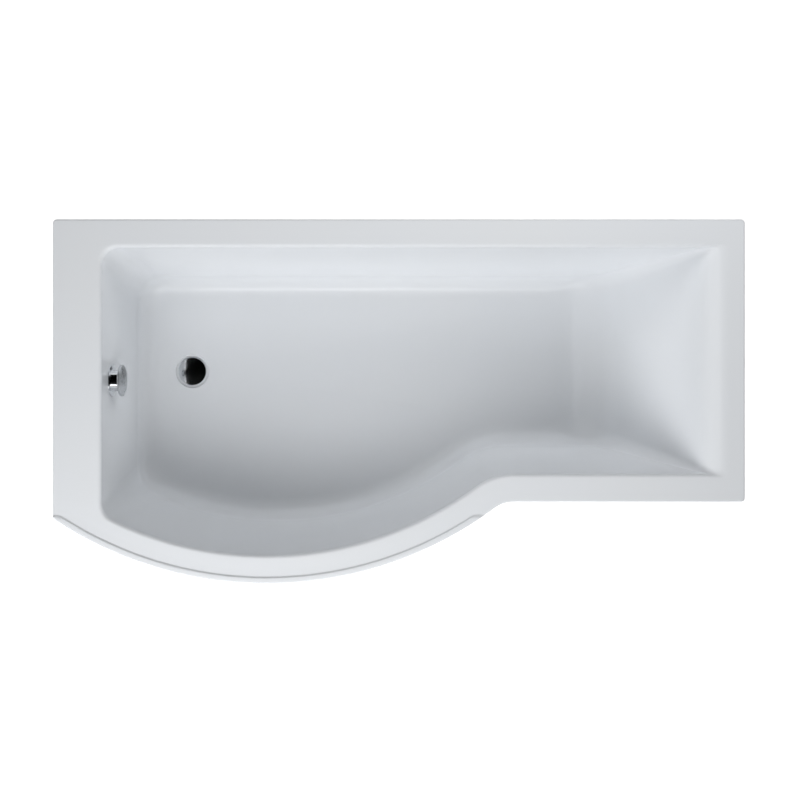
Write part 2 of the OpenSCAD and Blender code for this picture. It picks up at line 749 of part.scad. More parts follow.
// Inverted channel from foot a to foot b
module leg_bar(a, b) {
    y0 = min(a.y, b.y) - bar_end;
    y1 = max(a.y, b.y) + bar_end;
    color("silver") difference() {
        translate([a.x - bar_w / 2, y0, bar_z]) cube([bar_w, y1 - y0, bar_h]);
        translate([a.x - bar_w / 2 + bar_t, y0 - cut, bar_z - cut])
            cube([bar_w - 2 * bar_t, y1 - y0 + 2 * cut, bar_h - bar_t + cut]);
        for (p = [a, b]) translate([p.x, p.y, web_z - cut]) cylinder(h = bar_t + 2 * cut, r = stud_hole_r);
        for (p = bar_screw_places()) translate([p.x, p.y, web_z - cut])
            cylinder(h = bar_t + 2 * cut, r = wood_screw_r + 4 * fit);
    }
}

module leg_bar_tap_end() leg_bar(feet[0], feet[1]);
module leg_bar_head_end() leg_bar(feet[2], feet[3]);

module centre_leg_plate() {
    color("silver") difference() {
        translate([feet[4].x - plate_w / 2, feet[4].y - plate_w / 2, plate_z]) cube([plate_w, plate_w, plate_t]);
        translate([feet[4].x, feet[4].y, plate_z - cut]) cylinder(h = plate_t + 2 * cut, r = stud_hole_r);
        for (p = plate_screw_places()) translate([p.x, p.y, plate_z - cut])
            cylinder(h = plate_t + 2 * cut, r = wood_screw_r + 4 * fit);
    }
}

// Screw that goes up into wood, with the underside of the sheet that it holds at z
module wood_screw(p, z) {
    translate([p.x, p.y, z - wood_head_h]) cylinder(h = wood_head_h, r = wood_head_r);
    translate([p.x, p.y, z - wood_head_h]) cylinder(h = wood_head_h + wood_screw_l - fit, r = wood_screw_r);
}

module leg_bar_screws() color("silver") for (p = bar_screw_places()) wood_screw(p, web_z);

module centre_plate_screws() color("silver") for (p = plate_screw_places()) wood_screw(p, plate_z);

module nut(p, z) {
    translate([p.x, p.y, z]) difference() {
        cylinder(h = nut_h, d = nut_af / cos(30), $fn = 6);
        translate([0, 0, -cut]) cylinder(h = nut_h + 2 * cut, r = stud_r + fit);
    }
}

module foot_nuts_upper() color("silver") for (k = [0:3]) nut(feet[k], board_z);

module foot_nuts_lower() color("silver") {
    for (k = [0:3]) nut(feet[k], web_z - nut_h);
    nut(feet[4], plate_z - nut_h);
}

module foot_stud(k) {
    top = k == 4 ? centre_stud_top_z : stud_top_z;
    color("silver") translate([feet[k].x, feet[k].y, pad_sole]) cylinder(h = top - pad_sole, r = stud_r);
}

module foot_pad(k) {
    color("dimgray") translate([feet[k].x, feet[k].y, 0]) difference() {
        union() {
            cylinder(h = pad_h, r = pad_r);
            cylinder(h = pad_neck_h, r = pad_neck_r);
        }
        translate([0, 0, pad_sole]) cylinder(h = pad_neck_h, r = stud_r + fit);
    }
}

module foot_stud_1() foot_stud(0);
module foot_stud_2() foot_stud(1);
module foot_stud_3() foot_stud(2);
module foot_stud_4() foot_stud(3);
module foot_stud_5() foot_stud(4);
module foot_pad_1() foot_pad(0);
module foot_pad_2() foot_pad(1);
module foot_pad_3() foot_pad(2);
module foot_pad_4() foot_pad(3);
module foot_pad_5() foot_pad(4);

// ---- Wall brackets ----

// Angle bracket with its wall face at x = 0 and its batten leg running to -X
module wall_bracket(x, y, a) {
    color("silver") translate([x, y, batten_z]) rotate([0, 0, a]) difference() {
        union() {
            translate([-bracket_leg, -bracket_w / 2, -bracket_t]) cube([bracket_leg, bracket_w, bracket_t]);
            translate([-bracket_t, -bracket_w / 2, -bracket_drop]) cube([bracket_t, bracket_w, bracket_drop]);
        }
        translate([-bracket_t - cut, 0, bracket_hole_up - bracket_drop]) rotate([0, 90, 0])
            cylinder(h = bracket_t + 2 * cut, r = bracket_hole_r);
        for (k = [0, 1]) translate([-bracket_screw_in - k * bracket_screw_pitch, 0, -bracket_t - cut])
            cylinder(h = bracket_t + 2 * cut, r = bracket_screw_r + 4 * fit);
    }
}

function bracket_places() = [[tap_x + bracket_x, rear_y - bracket_wall_gap, 90],
    [head_x - bracket_x, rear_y - bracket_wall_gap, 90],
    [tap_x + bracket_wall_gap, bracket_y, 180], [head_x - bracket_wall_gap, bracket_y, 0]];

module placed_bracket(k) wall_bracket(bracket_places()[k][0], bracket_places()[k][1], bracket_places()[k][2]);

module wall_bracket_rear_tap() placed_bracket(0);
module wall_bracket_rear_head() placed_bracket(1);
module wall_bracket_tap_end() placed_bracket(2);
module wall_bracket_head_end() placed_bracket(3);

module bracket_screws() {
    color("silver") for (b = bracket_places()) translate([b[0], b[1], bracket_z]) rotate([0, 0, b[2]])
        for (k = [0, 1]) translate([-bracket_screw_in - k * bracket_screw_pitch, 0, -bracket_head_h]) {
            cylinder(h = bracket_head_h, r = bracket_head_r);
            cylinder(h = bracket_head_h + bracket_screw_l - fit, r = bracket_screw_r);
        }
}

// ---- Waste ----

module waste_flange() {
    tail_z = chamber_z + 2;
    color("silver") at_waste(0) {
        difference() {
            union() {
                translate([0, 0, flange_z]) cylinder(h = flange_t, r = flange_r);
                translate([0, 0, tail_z]) cylinder(h = flange_z + flange_t / 2 - tail_z, r = tail_r);
            }
            translate([0, 0, tail_z - cut]) cylinder(h = throat_z - tail_z + 2 * cut, r = throat_r);
        }
        translate([0, 0, guide_z]) {
            ring(guide_h, 2 * stem_r, stem_r + running);
            spider(guide_h, 2 * stem_r - cut, throat_r + cut);
        }
    }
}

module waste_seal_upper() color("dimgray") at_waste(recess_z) ring(seal_upper_t, flange_r - cut, waste_hole_r + cut);

module waste_seal_lower() color("dimgray") at_waste(body_z) ring(seal_lower_t, body_flange_r - 2, waste_hole_r + cut);

module waste_body() {
    color("white") difference() {
        union() {
            at_waste(body_z - body_flange_t) cylinder(h = body_flange_t, r = body_flange_r);
            at_waste(body_base_z) cylinder(h = body_z - body_base_z, r = body_r);
            at_waste(outlet_z) cylinder(h = outlet_l + cut, r = outlet_r);
            at_port(pipe_heading, port_z) rotate([0, 90, 0]) cylinder(h = port_end, r = port_r);
            at_port(cable_heading, cable_port_z) rotate([0, 90, 0]) cylinder(h = cable_port_end, r = gland_r);
        }
        at_waste(chamber_z - cut) cylinder(h = thread_l + 2 * cut, r = tail_r + fit);
        at_waste(chamber_floor_z) cylinder(h = chamber_h, r = chamber_r);
        at_waste(outlet_z - cut) cylinder(h = outlet_l + body_floor_t + 2 * cut, r = outlet_bore_r);
        at_port(pipe_heading, port_z) rotate([0, 90, 0]) cylinder(h = port_end + cut, r = pipe_bore_r);
        at_port(cable_heading, cable_port_z) translate([chamber_r - cut, 0, 0]) rotate([0, 90, 0])
            cylinder(h = cable_port_end, r = cable_r / 2);
        at_port(pipe_heading, lever_z) translate([lever_in, -lever_pin_l() / 2 - fit, 0]) rotate([-90, 0, 0])
            cylinder(h = lever_pin_l() + 2 * fit, r = lever_pin_r + fit);
    }
    color("white") at_waste(chamber_floor_z - spider_h) {
        ring(spider_h, 2 * lift_pin_r, lift_pin_r + 3 * fit);
        spider(spider_h, 2 * lift_pin_r - cut, outlet_bore_r + cut);
    }
}

module plug_cap() {
    dome = cap_h - cap_edge;
    dome_r = (cap_r * cap_r + dome * dome) / (2 * dome);
    color("silver") at_waste(throat_z + running) difference() {
        union() {
            rotate_extrude() polygon(concat([[0, 0], [cap_r, 0]],
                arc([0, cap_h - dome_r], dome_r, acos(cap_r / dome_r), 90, dome_n, 0)));
            translate([0, 0, -plug_hub_h]) cylinder(h = plug_hub_h + cap_edge / 2, r = plug_hub_r);
        }
        translate([0, 0, -plug_hub_h - cut]) cylinder(h = plug_hub_h - plug_hub_top + cut, r = stem_r + fit);
    }
}

module plug_seal() {
    h = flange_t + running;
    color("dimgray") at_waste(throat_z + running - h) ring(h, throat_r - running, plug_hub_r + fit);
}

module plug_stem() {
    color("silver") at_waste(stem_z) cylinder(h = throat_z + running - plug_hub_top - fit - stem_z, r = stem_r);
}

module lift_pin() {
    color("goldenrod") at_waste(0) {
        translate([0, 0, lift_pin_z]) cylinder(h = stem_z - pin_stem_gap - lift_pin_z, r = lift_pin_r);
        translate([0, 0, collar_z]) cylinder(h = collar_t, r = collar_r);
    }
}

function lever_pin_l() = 2 * (sqrt(pow(chamber_r, 2) - pow(lever_in, 2)) + 3);

// One arm of the lever, a flat bar with a round end
module lever_bar(length, tip_r) {
    translate([0, -lever_half_w]) square([length, 2 * lever_half_w]);
    translate([length, 0]) circle(r = tip_r);
}

module lift_lever() {
    // X towards the overflow; the inner arm reaches under the lift pin's collar
    color("silver") at_port(pipe_heading, lever_z) translate([lever_in, -lever_side, 0]) rotate([90, 0, 0])
        linear_extrude(lever_t) difference() {
            union() {
                circle(r = lever_eye_r);
                rotate(180 + lever_rest_a) lever_bar(lever_in, lever_pad_r);
                rotate(270 + lever_rest_a) lever_bar(lever_arm, lever_tip_r);
            }
            circle(r = lever_pin_r + bearing);
        }
}

module lever_pin() {
    color("silver") at_port(pipe_heading, lever_z) translate([lever_in, -lever_pin_l() / 2, 0])
        rotate([-90, 0, 0]) cylinder(h = lever_pin_l(), r = lever_pin_r);
}

// ---- Overflow ----

module overflow_flange() {
    spigot_l = wall_t - 2;
    port_count = 8;
    color("silver") at_wall() {
        translate([0, 0, rosette_gap]) difference() {
            union() {
                rotate_extrude() polygon(concat([[0, 0], [rosette_r, 0]],
                    arc([rosette_r - 1, rosette_t - 1], 1, 0, 90, corner_n, 0), [[0, rosette_t]]));
                cylinder(h = rosette_t + sleeve_l, r = sleeve_r);
            }
            translate([0, 0, web_t]) cylinder(h = rosette_t + sleeve_l, r = sleeve_r - 3);
            translate([0, 0, -cut]) cylinder(h = web_t + 2 * cut, r = spindle_r + bearing);
            for (s = [-1, 1]) translate([0, s * screw_off, -cut]) cylinder(h = web_t + 2 * cut, r = screw_r + running);
            for (k = [0:port_count - 1]) if (k % 4 != 2) rotate([0, 0, 360 / port_count * k])
                translate([screw_off, 0, -cut]) cylinder(h = web_t + 2 * cut, r = 4.5);
            for (a = [-35, 0, 35]) rotate([0, 0, a]) translate([sleeve_r - 5, -4, rosette_t + 3])
                cube([10, 8, sleeve_l - 6]);
        }
        translate([0, 0, -spigot_l]) ring(spigot_l + rosette_gap + cut, overflow_hole_r - 0.5, overflow_hole_r - 4);
    }
}

module overflow_screws() {
    head_h = 3;
    color("silver") at_wall() for (s = [-1, 1]) translate([0, s * screw_off, 0]) {
        translate([0, 0, rosette_gap + web_t]) cylinder(h = head_h, r = 2 * screw_r);
        translate([0, 0, chest_z - 12]) cylinder(h = rosette_gap + web_t + 1 - chest_z + 12, r = screw_r);
    }
}

module overflow_seal() {
    color("dimgray") at_wall() translate([0, 0, -wall_t - overflow_seal_t])
        ring(overflow_seal_t - fit, chest_flange_r - 1, overflow_hole_r + 1);
}

module overflow_body() {
    bore_r = chest_r - chest_wall;
    color("white") at_wall() {
        difference() {
            union() {
                translate([0, 0, chest_z]) cylinder(h = chest_flange_t, r = chest_flange_r);
                translate([0, 0, chest_end_z]) cylinder(h = chest_z - chest_end_z + 1, r = chest_r);
                translate([0, 0, outlet_axis_z]) rotate([0, 90, 0]) cylinder(h = outlet_end, r = port_r);
            }
            translate([0, 0, chest_back_z]) cylinder(h = -chest_back_z, r = bore_r);
            translate([0, 0, chest_end_z - cut]) cylinder(h = chest_back_t + 2 * cut, r = spindle_r + bearing);
            translate([0, 0, outlet_axis_z]) rotate([0, 90, 0]) cylinder(h = outlet_end + cut, r = pipe_bore_r);
        }
        for (s = [-1, 1]) translate([0, s * screw_off, chest_back_z - 1]) difference() {
            cylinder(h = chest_z - chest_back_z, r = 2.5 * screw_r);
            translate([0, 0, 2]) cylinder(h = chest_z - chest_back_z, r = screw_r + fit);
        }
    }
}

module overflow_knob() {
    hub_l = 4;
    face_z = rosette_gap + rosette_t + sleeve_l + running;
    color("silver") at_wall() difference() {
        union() {
            translate([0, 0, face_z]) rounded_disc(knob_t, knob_r, 1.5);
            translate([0, 0, face_z - hub_l]) cylinder(h = hub_l + 1, r = sleeve_r - 3 - running);
        }
        translate([0, 0, face_z - hub_l - cut]) cylinder(h = hub_l + cut + 3.5, r = spindle_r + fit);
    }
}

module knob_spindle() {
    top = rosette_gap + rosette_t + sleeve_l + running + 3.5 - fit;
    color("silver") at_wall() translate([0, 0, drum_z + 1]) cylinder(h = top - drum_z - 1, r = spindle_r);
}

module cable_drum() {
    color("dimgray") at_wall() translate([0, 0, drum_z]) difference() {
        union() {
            cylinder(h = drum_l, r = drum_core_r);
            cylinder(h = drum_flange_t, r = drum_r);
            translate([0, 0, drum_l - drum_flange_t]) cylinder(h = drum_flange_t, r = drum_r);
        }
        translate([0, 0, 1 - fit]) cylinder(h = drum_l, r = spindle_r + fit);
    }
}

module cable_case() {
    color("dimgray") at_wall() translate([0, 0, chest_end_z - case_l]) difference() {
        union() {
            cylinder(h = case_l, r = case_r);
            translate([0, -drum_core_r, cable_z - chest_end_z + case_l]) rotate([0, 90, 0])
                cylinder(h = gland_end, r = gland_r);
        }
        translate([0, 0, -cut]) cylinder(h = case_l + 2 * cut, r = case_r - case_wall);
        translate([0, -drum_core_r, cable_z - chest_end_z + case_l]) rotate([0, 90, 0])
            cylinder(h = gland_end + cut, r = cable_r / 2);
    }
}

module cable_case_cover() {
    color("dimgray") at_wall() translate([0, 0, chest_end_z - case_l - case_cover_t])
        cylinder(h = case_cover_t, r = case_r);
}

// ---- Overflow pipe and pull cable ----

module overflow_pipe() {
    straight = 2 * pipe_r;
    length = route_length(pipe_start, pipe_stop, straight);
    ribs = floor((length - rib_pitch) / rib_pitch);
    first = (length - ribs * rib_pitch) / 2;
    bores = ceil(length / bore_step);
    outer = concat([[0, pipe_r - rib_d]],
        [for (k = [0:ribs - 1]) each [[first + (k + 0.15) * rib_pitch, pipe_r - rib_d],
            [first + (k + 0.5) * rib_pitch, pipe_r]]],
        [[first + ribs * rib_pitch, pipe_r - rib_d], [length, pipe_r - rib_d]]);
    inner = [for (k = [bores:-1:0]) [length * k / bores, pipe_bore_r]];
    color("lightgray") ringed_loop([for (p = concat(outer, inner))
        route_ring(pipe_start, pipe_stop, straight, p[0], p[1], pipe_sides)]);
}

module pipe_nut() {
    difference() {
        cylinder(h = pipe_nut_grip + pipe_nut_lip, r = pipe_nut_r);
        translate([0, 0, -cut]) cylinder(h = pipe_nut_grip + cut + fit, r = port_r + fit);
        cylinder(h = pipe_nut_grip + pipe_nut_lip + cut, r = pipe_r + 0.4);
    }
}

module pipe_nut_upper() {
    color("white") at_wall() translate([outlet_end - pipe_nut_grip, 0, outlet_axis_z]) rotate([0, 90, 0]) pipe_nut();
}

module pipe_nut_lower() {
    color("white") at_port(pipe_heading, port_z) translate([port_end - pipe_nut_grip, 0, 0]) rotate([0, 90, 0])
        pipe_nut();
}

module pull_cable() {
    length = route_length(cable_start, cable_stop, cable_straight);
    steps = ceil(length / cable_step);
    color("dimgray") ringed_solid([for (k = [0:steps])
        route_ring(cable_start, cable_stop, cable_straight, length * k / steps, cable_r, cable_sides)], true);
}

bath_shell();
glassfibre_backing();
baseboard();
rim_batten_rear();
rim_batten_tap_end();
rim_batten_bulge();
rim_batten_front();
rim_batten_head_end();
leg_bar_tap_end();
leg_bar_head_end();
leg_bar_screws();
centre_leg_plate();
centre_plate_screws();
foot_nuts_upper();
foot_nuts_lower();
foot_stud_1();
foot_stud_2();
foot_stud_3();
foot_stud_4();
foot_stud_5();
foot_pad_1();
foot_pad_2();
foot_pad_3();
foot_pad_4();
foot_pad_5();
wall_bracket_rear_tap();
wall_bracket_rear_head();
wall_bracket_tap_end();
wall_bracket_head_end();
bracket_screws();
waste_flange();
waste_seal_upper();
waste_seal_lower();
waste_body();
plug_cap();
plug_seal();
plug_stem();
lift_pin();
lift_lever();
lever_pin();
overflow_flange();
overflow_screws();
overflow_seal();
overflow_body();
overflow_knob();
knob_spindle();
cable_drum();
cable_case();
cable_case_cover();
overflow_pipe();
pipe_nut_upper();
pipe_nut_lower();
pull_cable();
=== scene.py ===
"""Dressed model of a P-shaped shower bath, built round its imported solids."""

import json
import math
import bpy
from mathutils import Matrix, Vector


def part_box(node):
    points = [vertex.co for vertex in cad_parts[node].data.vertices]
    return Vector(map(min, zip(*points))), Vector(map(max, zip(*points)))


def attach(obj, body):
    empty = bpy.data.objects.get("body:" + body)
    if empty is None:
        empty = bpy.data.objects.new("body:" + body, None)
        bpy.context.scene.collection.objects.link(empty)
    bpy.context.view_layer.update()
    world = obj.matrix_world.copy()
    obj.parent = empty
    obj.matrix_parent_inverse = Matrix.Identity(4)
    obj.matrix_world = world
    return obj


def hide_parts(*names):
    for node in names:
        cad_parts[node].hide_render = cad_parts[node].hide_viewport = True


bl_info = {
    "name": "P-shaped shower bath",
    "version": (1, 0, 0),
    "blender": (4, 5, 0),
    "location": "3D View > Sidebar > Shower bath",
    "description": "Acrylic shell, laminate, cradle, pop-up waste and overflow of a P-shaped shower bath",
    "category": "Object",
}

import bmesh
import bpy
import numpy as np
from bpy.props import FloatProperty, FloatVectorProperty, IntProperty, PointerProperty
from mathutils import Matrix, Vector, noise

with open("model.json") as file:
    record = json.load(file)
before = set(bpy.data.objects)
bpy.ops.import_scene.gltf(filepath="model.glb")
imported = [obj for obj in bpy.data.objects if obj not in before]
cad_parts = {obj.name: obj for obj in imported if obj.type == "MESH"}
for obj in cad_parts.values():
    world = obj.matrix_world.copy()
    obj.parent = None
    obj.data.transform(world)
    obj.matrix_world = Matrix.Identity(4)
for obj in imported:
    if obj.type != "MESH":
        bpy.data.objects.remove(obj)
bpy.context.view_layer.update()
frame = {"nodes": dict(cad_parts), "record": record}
NODES = frame["nodes"]
BODIES = frame["record"]["behaviour"]["bodies"]
BODY_OF = {node: body for body, members in BODIES.items() for node in members}
SHELL_LOW, SHELL_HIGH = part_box("bath_shell")
LENGTH = {"unit": "LENGTH", "subtype": "DISTANCE"}
ANGLE = {"unit": "ROTATION", "subtype": "ANGLE"}
TINY = 1e-7


# ---- Settings ----

def size(name, default, note):
    return FloatProperty(name=name, description=note, default=default, min=0.0, **LENGTH)


def offset(name, default, note):
    return FloatProperty(name=name, description=note, default=default, **LENGTH)


def lean(name, degrees, note):
    return FloatProperty(name=name, description=note, default=math.radians(degrees), **ANGLE)


def number(name, default, note, most=1000.0):
    return FloatProperty(name=name, description=note, default=default, min=0.0, max=most)


def colour(name, default, note):
    look = {"min": 0.0, "max": 1.0, "size": 3, "subtype": "COLOR"}
    return FloatVectorProperty(name=name, description=note, default=default, **look)


def count(name, default, note, least, most):
    return IntProperty(name=name, description=note, default=default, min=least, max=most)


class ShellSettings(bpy.types.PropertyGroup):
    """Sizes of the rim, the well and the laminate."""

    length: size("Length", SHELL_HIGH.x - SHELL_LOW.x, "Length of the bath")
    width: size("Width", SHELL_HIGH.y - SHELL_LOW.y, "Width across the bulge")
    narrow_width: size("Narrow width", 0.695, "Width of the narrow end")
    rim_height: size("Rim height", 0.570, "Height of the deck above the floor")
    bulge_from_tap: size("Bulge place", 0.525, "From the tap end to the bulge's widest point")
    bulge_radius: size("Bulge radius", 0.940, "Radius of the bulge's outer edge")
    neck_radius: size("Neck radius", 0.080, "Radius of the hollow curve beside the bulge")
    deck_rear: size("Wall-side deck", 0.060, "Deck width along the wall")
    deck_front: size("Front deck", 0.060, "Deck width along the front and the bulge")
    deck_tap: size("Tap deck", 0.109, "Deck width at the tap end")
    deck_head: size("Head deck", 0.040, "Deck width at the head end")
    skirt_drop: size("Skirt", 0.036, "Depth of the turned-down skirt")
    edge_corner_radius: size("Rim corners", 0.010, "Corner radius of the rim, seen from above")
    edge_radius: size("Rim edge", 0.0045, "Rounding of the rim's outer edge")
    lip_width: size("Lip width", 0.018, "Width of the raised lip along the bulge")
    lip_height: size("Lip height", 0.004, "Height of the raised lip")
    lip_slope: size("Lip slope", 0.005, "Width of the lip's inner slope")
    lip_reach: size("Lip reach", 0.0315, "From the narrow side's edge to the ends of the lip")
    well_depth: size("Well depth", 0.400, "Depth of the well at the edge of its floor")
    roll_radius: size("Side roll", 0.010, "Radius from the deck into the side walls")
    wall_lean: lean("Side lean", 8.5, "Lean of the side walls")
    foot_radius: size("Side foot", 0.060, "Radius from the side walls into the floor")
    tap_lean: lean("Tap end lean", 5.0, "Lean of the tap end's wall")
    tap_foot_radius: size("Tap end foot", 0.045, "Radius from the tap end's wall into the floor")
    back_roll_radius: size("Backrest roll", 0.080, "Radius at the top of the backrest")
    back_lean: lean("Backrest lean", 30.0, "Lean of the backrest")
    back_foot_radius: size("Backrest foot", 0.180, "Radius from the backrest into the floor")
    rear_corner: size("Rear corner", 0.046, "Corner radius between the wall side and the tap end")
    bulge_corner: size("Bulge corner", 0.048, "Corner radius between the bulge and the tap end")
    head_corner: size("Head corners", 0.014, "Corner radius beside the backrest")
    rear_corner_grow: size("Rear corner growth", 0.029, "Growth of the rear corner down to the floor")
    bulge_corner_grow: size("Bulge corner growth", 0.042, "Growth of the bulge corner down to the floor")
    head_corner_grow: size("Head corner growth", 0.031, "Growth of the head corners down to the floor")
    ease: size("Eased depth", 0.010, "Depth over which one curve of a wall passes into the next")
    floor_fall: size("Floor fall", 0.008, "Fall of the floor to the waste")
    drain_radius: size("Drain flat", 0.060, "Radius of the flat place round the waste")
    recess_radius: size("Recess", 0.044, "Radius of the recess round the waste")
    recess_depth: size("Recess depth", 0.004, "Depth of the recess")
    boss_radius: size("Boss", 0.049, "Radius of the boss under the recess")
    seat_width: size("Flange seat", 0.009, "Width of the acrylic under the waste's flange")
    overflow_depth: size("Overflow depth", 0.100, "From the deck down to the overflow's middle")
    overflow_hole: size("Overflow hole", 0.026, "Radius of the overflow's hole")
    acrylic: size("Acrylic", 0.005, "Thickness of the acrylic")
    laminate: size("Laminate", 0.003, "Thickness of the glassfibre laminate")
    bed_margin: size("Bed margin", 0.015, "How far the laminate's flat bed lies inside the floor's edge")
    ripple: size("Laminate ripple", 0.0004, "Unevenness of the hand-rolled laminate")
    white: colour("Acrylic white", (0.868, 0.890, 0.918), "Colour of the acrylic")
    gloss: number("Acrylic roughness", 0.16, "Roughness of the acrylic's surface", 1.0)
    resin: colour("Resin", (0.71, 0.68, 0.56), "Colour of the cured resin")
    strands: colour("Strands", (0.86, 0.85, 0.78), "Colour of the glass strands")


class FittingSettings(bpy.types.PropertyGroup):
    """Sizes and colours of the cradle, the waste, the overflow, the pipe and the cable."""

    stud_pitch: size("Stud thread", 0.00175, "From thread to thread on the feet")
    stud_depth: size("Stud thread depth", 0.0009, "Depth of the thread on the feet")
    nut_width: size("Nut width", 0.018, "Width of the feet's nuts across their flats")
    outlet_radius: size("Outlet", 0.0239, "Outer radius of the waste's threaded outlet")
    outlet_pitch: size("Outlet thread", 0.0023, "From thread to thread on the waste's outlet")
    outlet_depth: size("Outlet thread depth", 0.0011, "Depth of the thread on the waste's outlet")
    knob_radius: size("Knob", 0.0395, "Radius of the knob's disc")
    knob_hub_radius: size("Knob hub", 0.0237, "Radius of the hub behind the knob's disc")
    pipe_crest: size("Pipe", 0.013, "Outer radius of the pipe over its ribs")
    pipe_root: size("Pipe root", 0.0112, "Outer radius of the pipe between its ribs")
    pipe_bore: size("Pipe bore", 0.0095, "Inner radius of the pipe")
    pipe_ribs: count("Pipe ribs", 70, "Ribs of the overflow pipe", 10, 200)
    cable_radius: size("Cable", 0.0025, "Radius of the pull cable's sheath")
    grip_flutes: count("Nut grips", 16, "Grips round a pipe nut", 6, 40)
    grip_depth: size("Grip depth", 0.0009, "Depth of the grips of a pipe nut")
    chrome: colour("Chrome", (0.62, 0.63, 0.645), "Colour of the chrome plate")
    zinc: colour("Zinc", (0.66, 0.67, 0.69), "Colour of the zinc plate")
    steel: colour("Stainless steel", (0.58, 0.58, 0.57), "Colour of the stamped stainless steel")
    brass: colour("Brass", (0.76, 0.56, 0.25), "Colour of the turned brass")
    black: colour("Black plastic", (0.022, 0.022, 0.024), "Colour of the moulded black plastic")
    rubber: colour("Rubber", (0.030, 0.030, 0.031), "Colour of the seals")
    body: colour("White plastic", (0.78, 0.78, 0.755), "Colour of the moulded white plastic")
    pipe: colour("Pipe plastic", (0.47, 0.48, 0.49), "Colour of the ribbed pipe")
    pale_wood: colour("Pine, pale", (0.66, 0.47, 0.27), "Colour of the pine's early wood")
    dark_wood: colour("Pine, dark", (0.44, 0.25, 0.11), "Colour of the pine's late wood")
    pale_chip: colour("Chips, pale", (0.60, 0.44, 0.26), "Colour of the board's pale chips")
    dark_chip: colour("Chips, dark", (0.27, 0.165, 0.085), "Colour of the board's dark chips")


class StageSettings(bpy.types.PropertyGroup):
    """Floor, light and camera."""

    camera_height: size("Camera height", 4.57, "Height of the camera above the floor")
    camera_along: offset("Camera along", 0.015, "Camera's place along the bath")
    camera_across: offset("Camera across", 0.0966, "Camera's place across the bath")
    focal_length: number("Focal length", 73.35, "Focal length in millimetres")
    floor_white: colour("Floor", (0.86, 0.86, 0.86), "Colour of the studio floor")
    floor_glow: number("Floor glow", 0.75, "Light that the white floor gives off")
    room_gain: number("Room light", 1.0, "Strength of the light from the room's walls")
    softbox_gain: number("Softboxes", 1.0, "Strength of all softboxes together")


# ---- Mesh building ----

def raw_mesh(name, points, faces):
    mesh = bpy.data.meshes.new(name)
    mesh.from_pydata([tuple(p) for p in points], [], [tuple(f) for f in faces])
    return mesh


def placed(name, data):
    obj = bpy.data.objects.new(name, data)
    bpy.context.scene.collection.objects.link(obj)
    return obj


def piece(name, points, faces, finish, nodes=(), body="bath", sharp=35.0):
    """A smooth-shaded mesh that rides on a body and hides the nodes it takes the place of."""
    mesh = raw_mesh(name, points, faces)
    bm = bmesh.new()
    bm.from_mesh(mesh)
    bmesh.ops.remove_doubles(bm, verts=bm.verts, dist=1e-6)
    return finished(mesh, bm, finish, nodes, body, sharp)


def finished(mesh, bm, finish, nodes, body, sharp):
    bm.to_mesh(mesh)
    bm.free()
    mesh.update()
    mesh.shade_smooth()
    mesh.set_sharp_from_angle(angle=math.radians(sharp))
    mesh.materials.append(material(finish))
    obj = placed(mesh.name, mesh)
    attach(obj, body)
    if nodes:
        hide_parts(*nodes)
    return obj


def angles(count):
    return [2 * math.pi * k / count for k in range(count)]


def strips(rings, count, closed=False, first=0):
    """Quads between neighbouring rings of the same number of points."""
    faces = []
    for a in range(rings if closed else rings - 1):
        low, high = first + a * count, first + (a + 1) % rings * count
        for k in range(count):
            m = (k + 1) % count
            faces.append((low + k, low + m, high + m, high + k))
    return faces


def joined(parts):
    """Several (points, faces) pairs as one."""
    points, faces = [], []
    for p, f in parts:
        start = len(points)
        points.extend(tuple(q) for q in p)
        faces.extend(tuple(i + start for i in face) for face in f)
    return points, faces


def moved(part, matrix):
    return [matrix @ Vector(p) for p in part[0]], part[1]


def turned(profile, segments=96, reach=None):
    """A solid of revolution about Z from (radius, height) pairs; reach(radius, angle) changes the radii."""
    points, faces, rings = [], [], []
    for r, z in profile:
        start = len(points)
        for a in angles(segments) if r > TINY else [0.0]:
            rr = reach(r, a) if reach and r > TINY else r
            points.append((rr * math.cos(a), rr * math.sin(a), z))
        rings.append(range(start, len(points)))
    pairs = list(zip(rings, rings[1:]))
    if len(rings[0]) > 1 and len(rings[-1]) > 1:
        pairs.append((rings[-1], rings[0]))
    for low, high in pairs:
        for k in range(segments):
            m = (k + 1) % segments
            corners = low[k % len(low)], low[m % len(low)], high[m % len(high)], high[k % len(high)]
            face = tuple(dict.fromkeys(corners))
            if len(face) > 2:
                faces.append(face)
    return points, faces


def rounded(profile, radius, steps=4):
    """A closed profile of (radius, height) pairs with its corners off the axis rounded."""
    out = []
    for k, corner in enumerate(profile):
        b = Vector(corner)
        u, v = Vector(profile[k - 1]) - b, Vector(profile[(k + 1) % len(profile)]) - b
        if min(b.x, u.length, v.length) < TINY:
            out.append(tuple(b))
            continue
        reach = min(radius, 0.45 * u.length, 0.45 * v.length)
        p, q = b + u.normalized() * reach, b + v.normalized() * reach
        for t in (i / steps for i in range(steps + 1)):
            out.append(tuple((1 - t) ** 2 * p + 2 * t * (1 - t) * b + t * t * q))
    return out


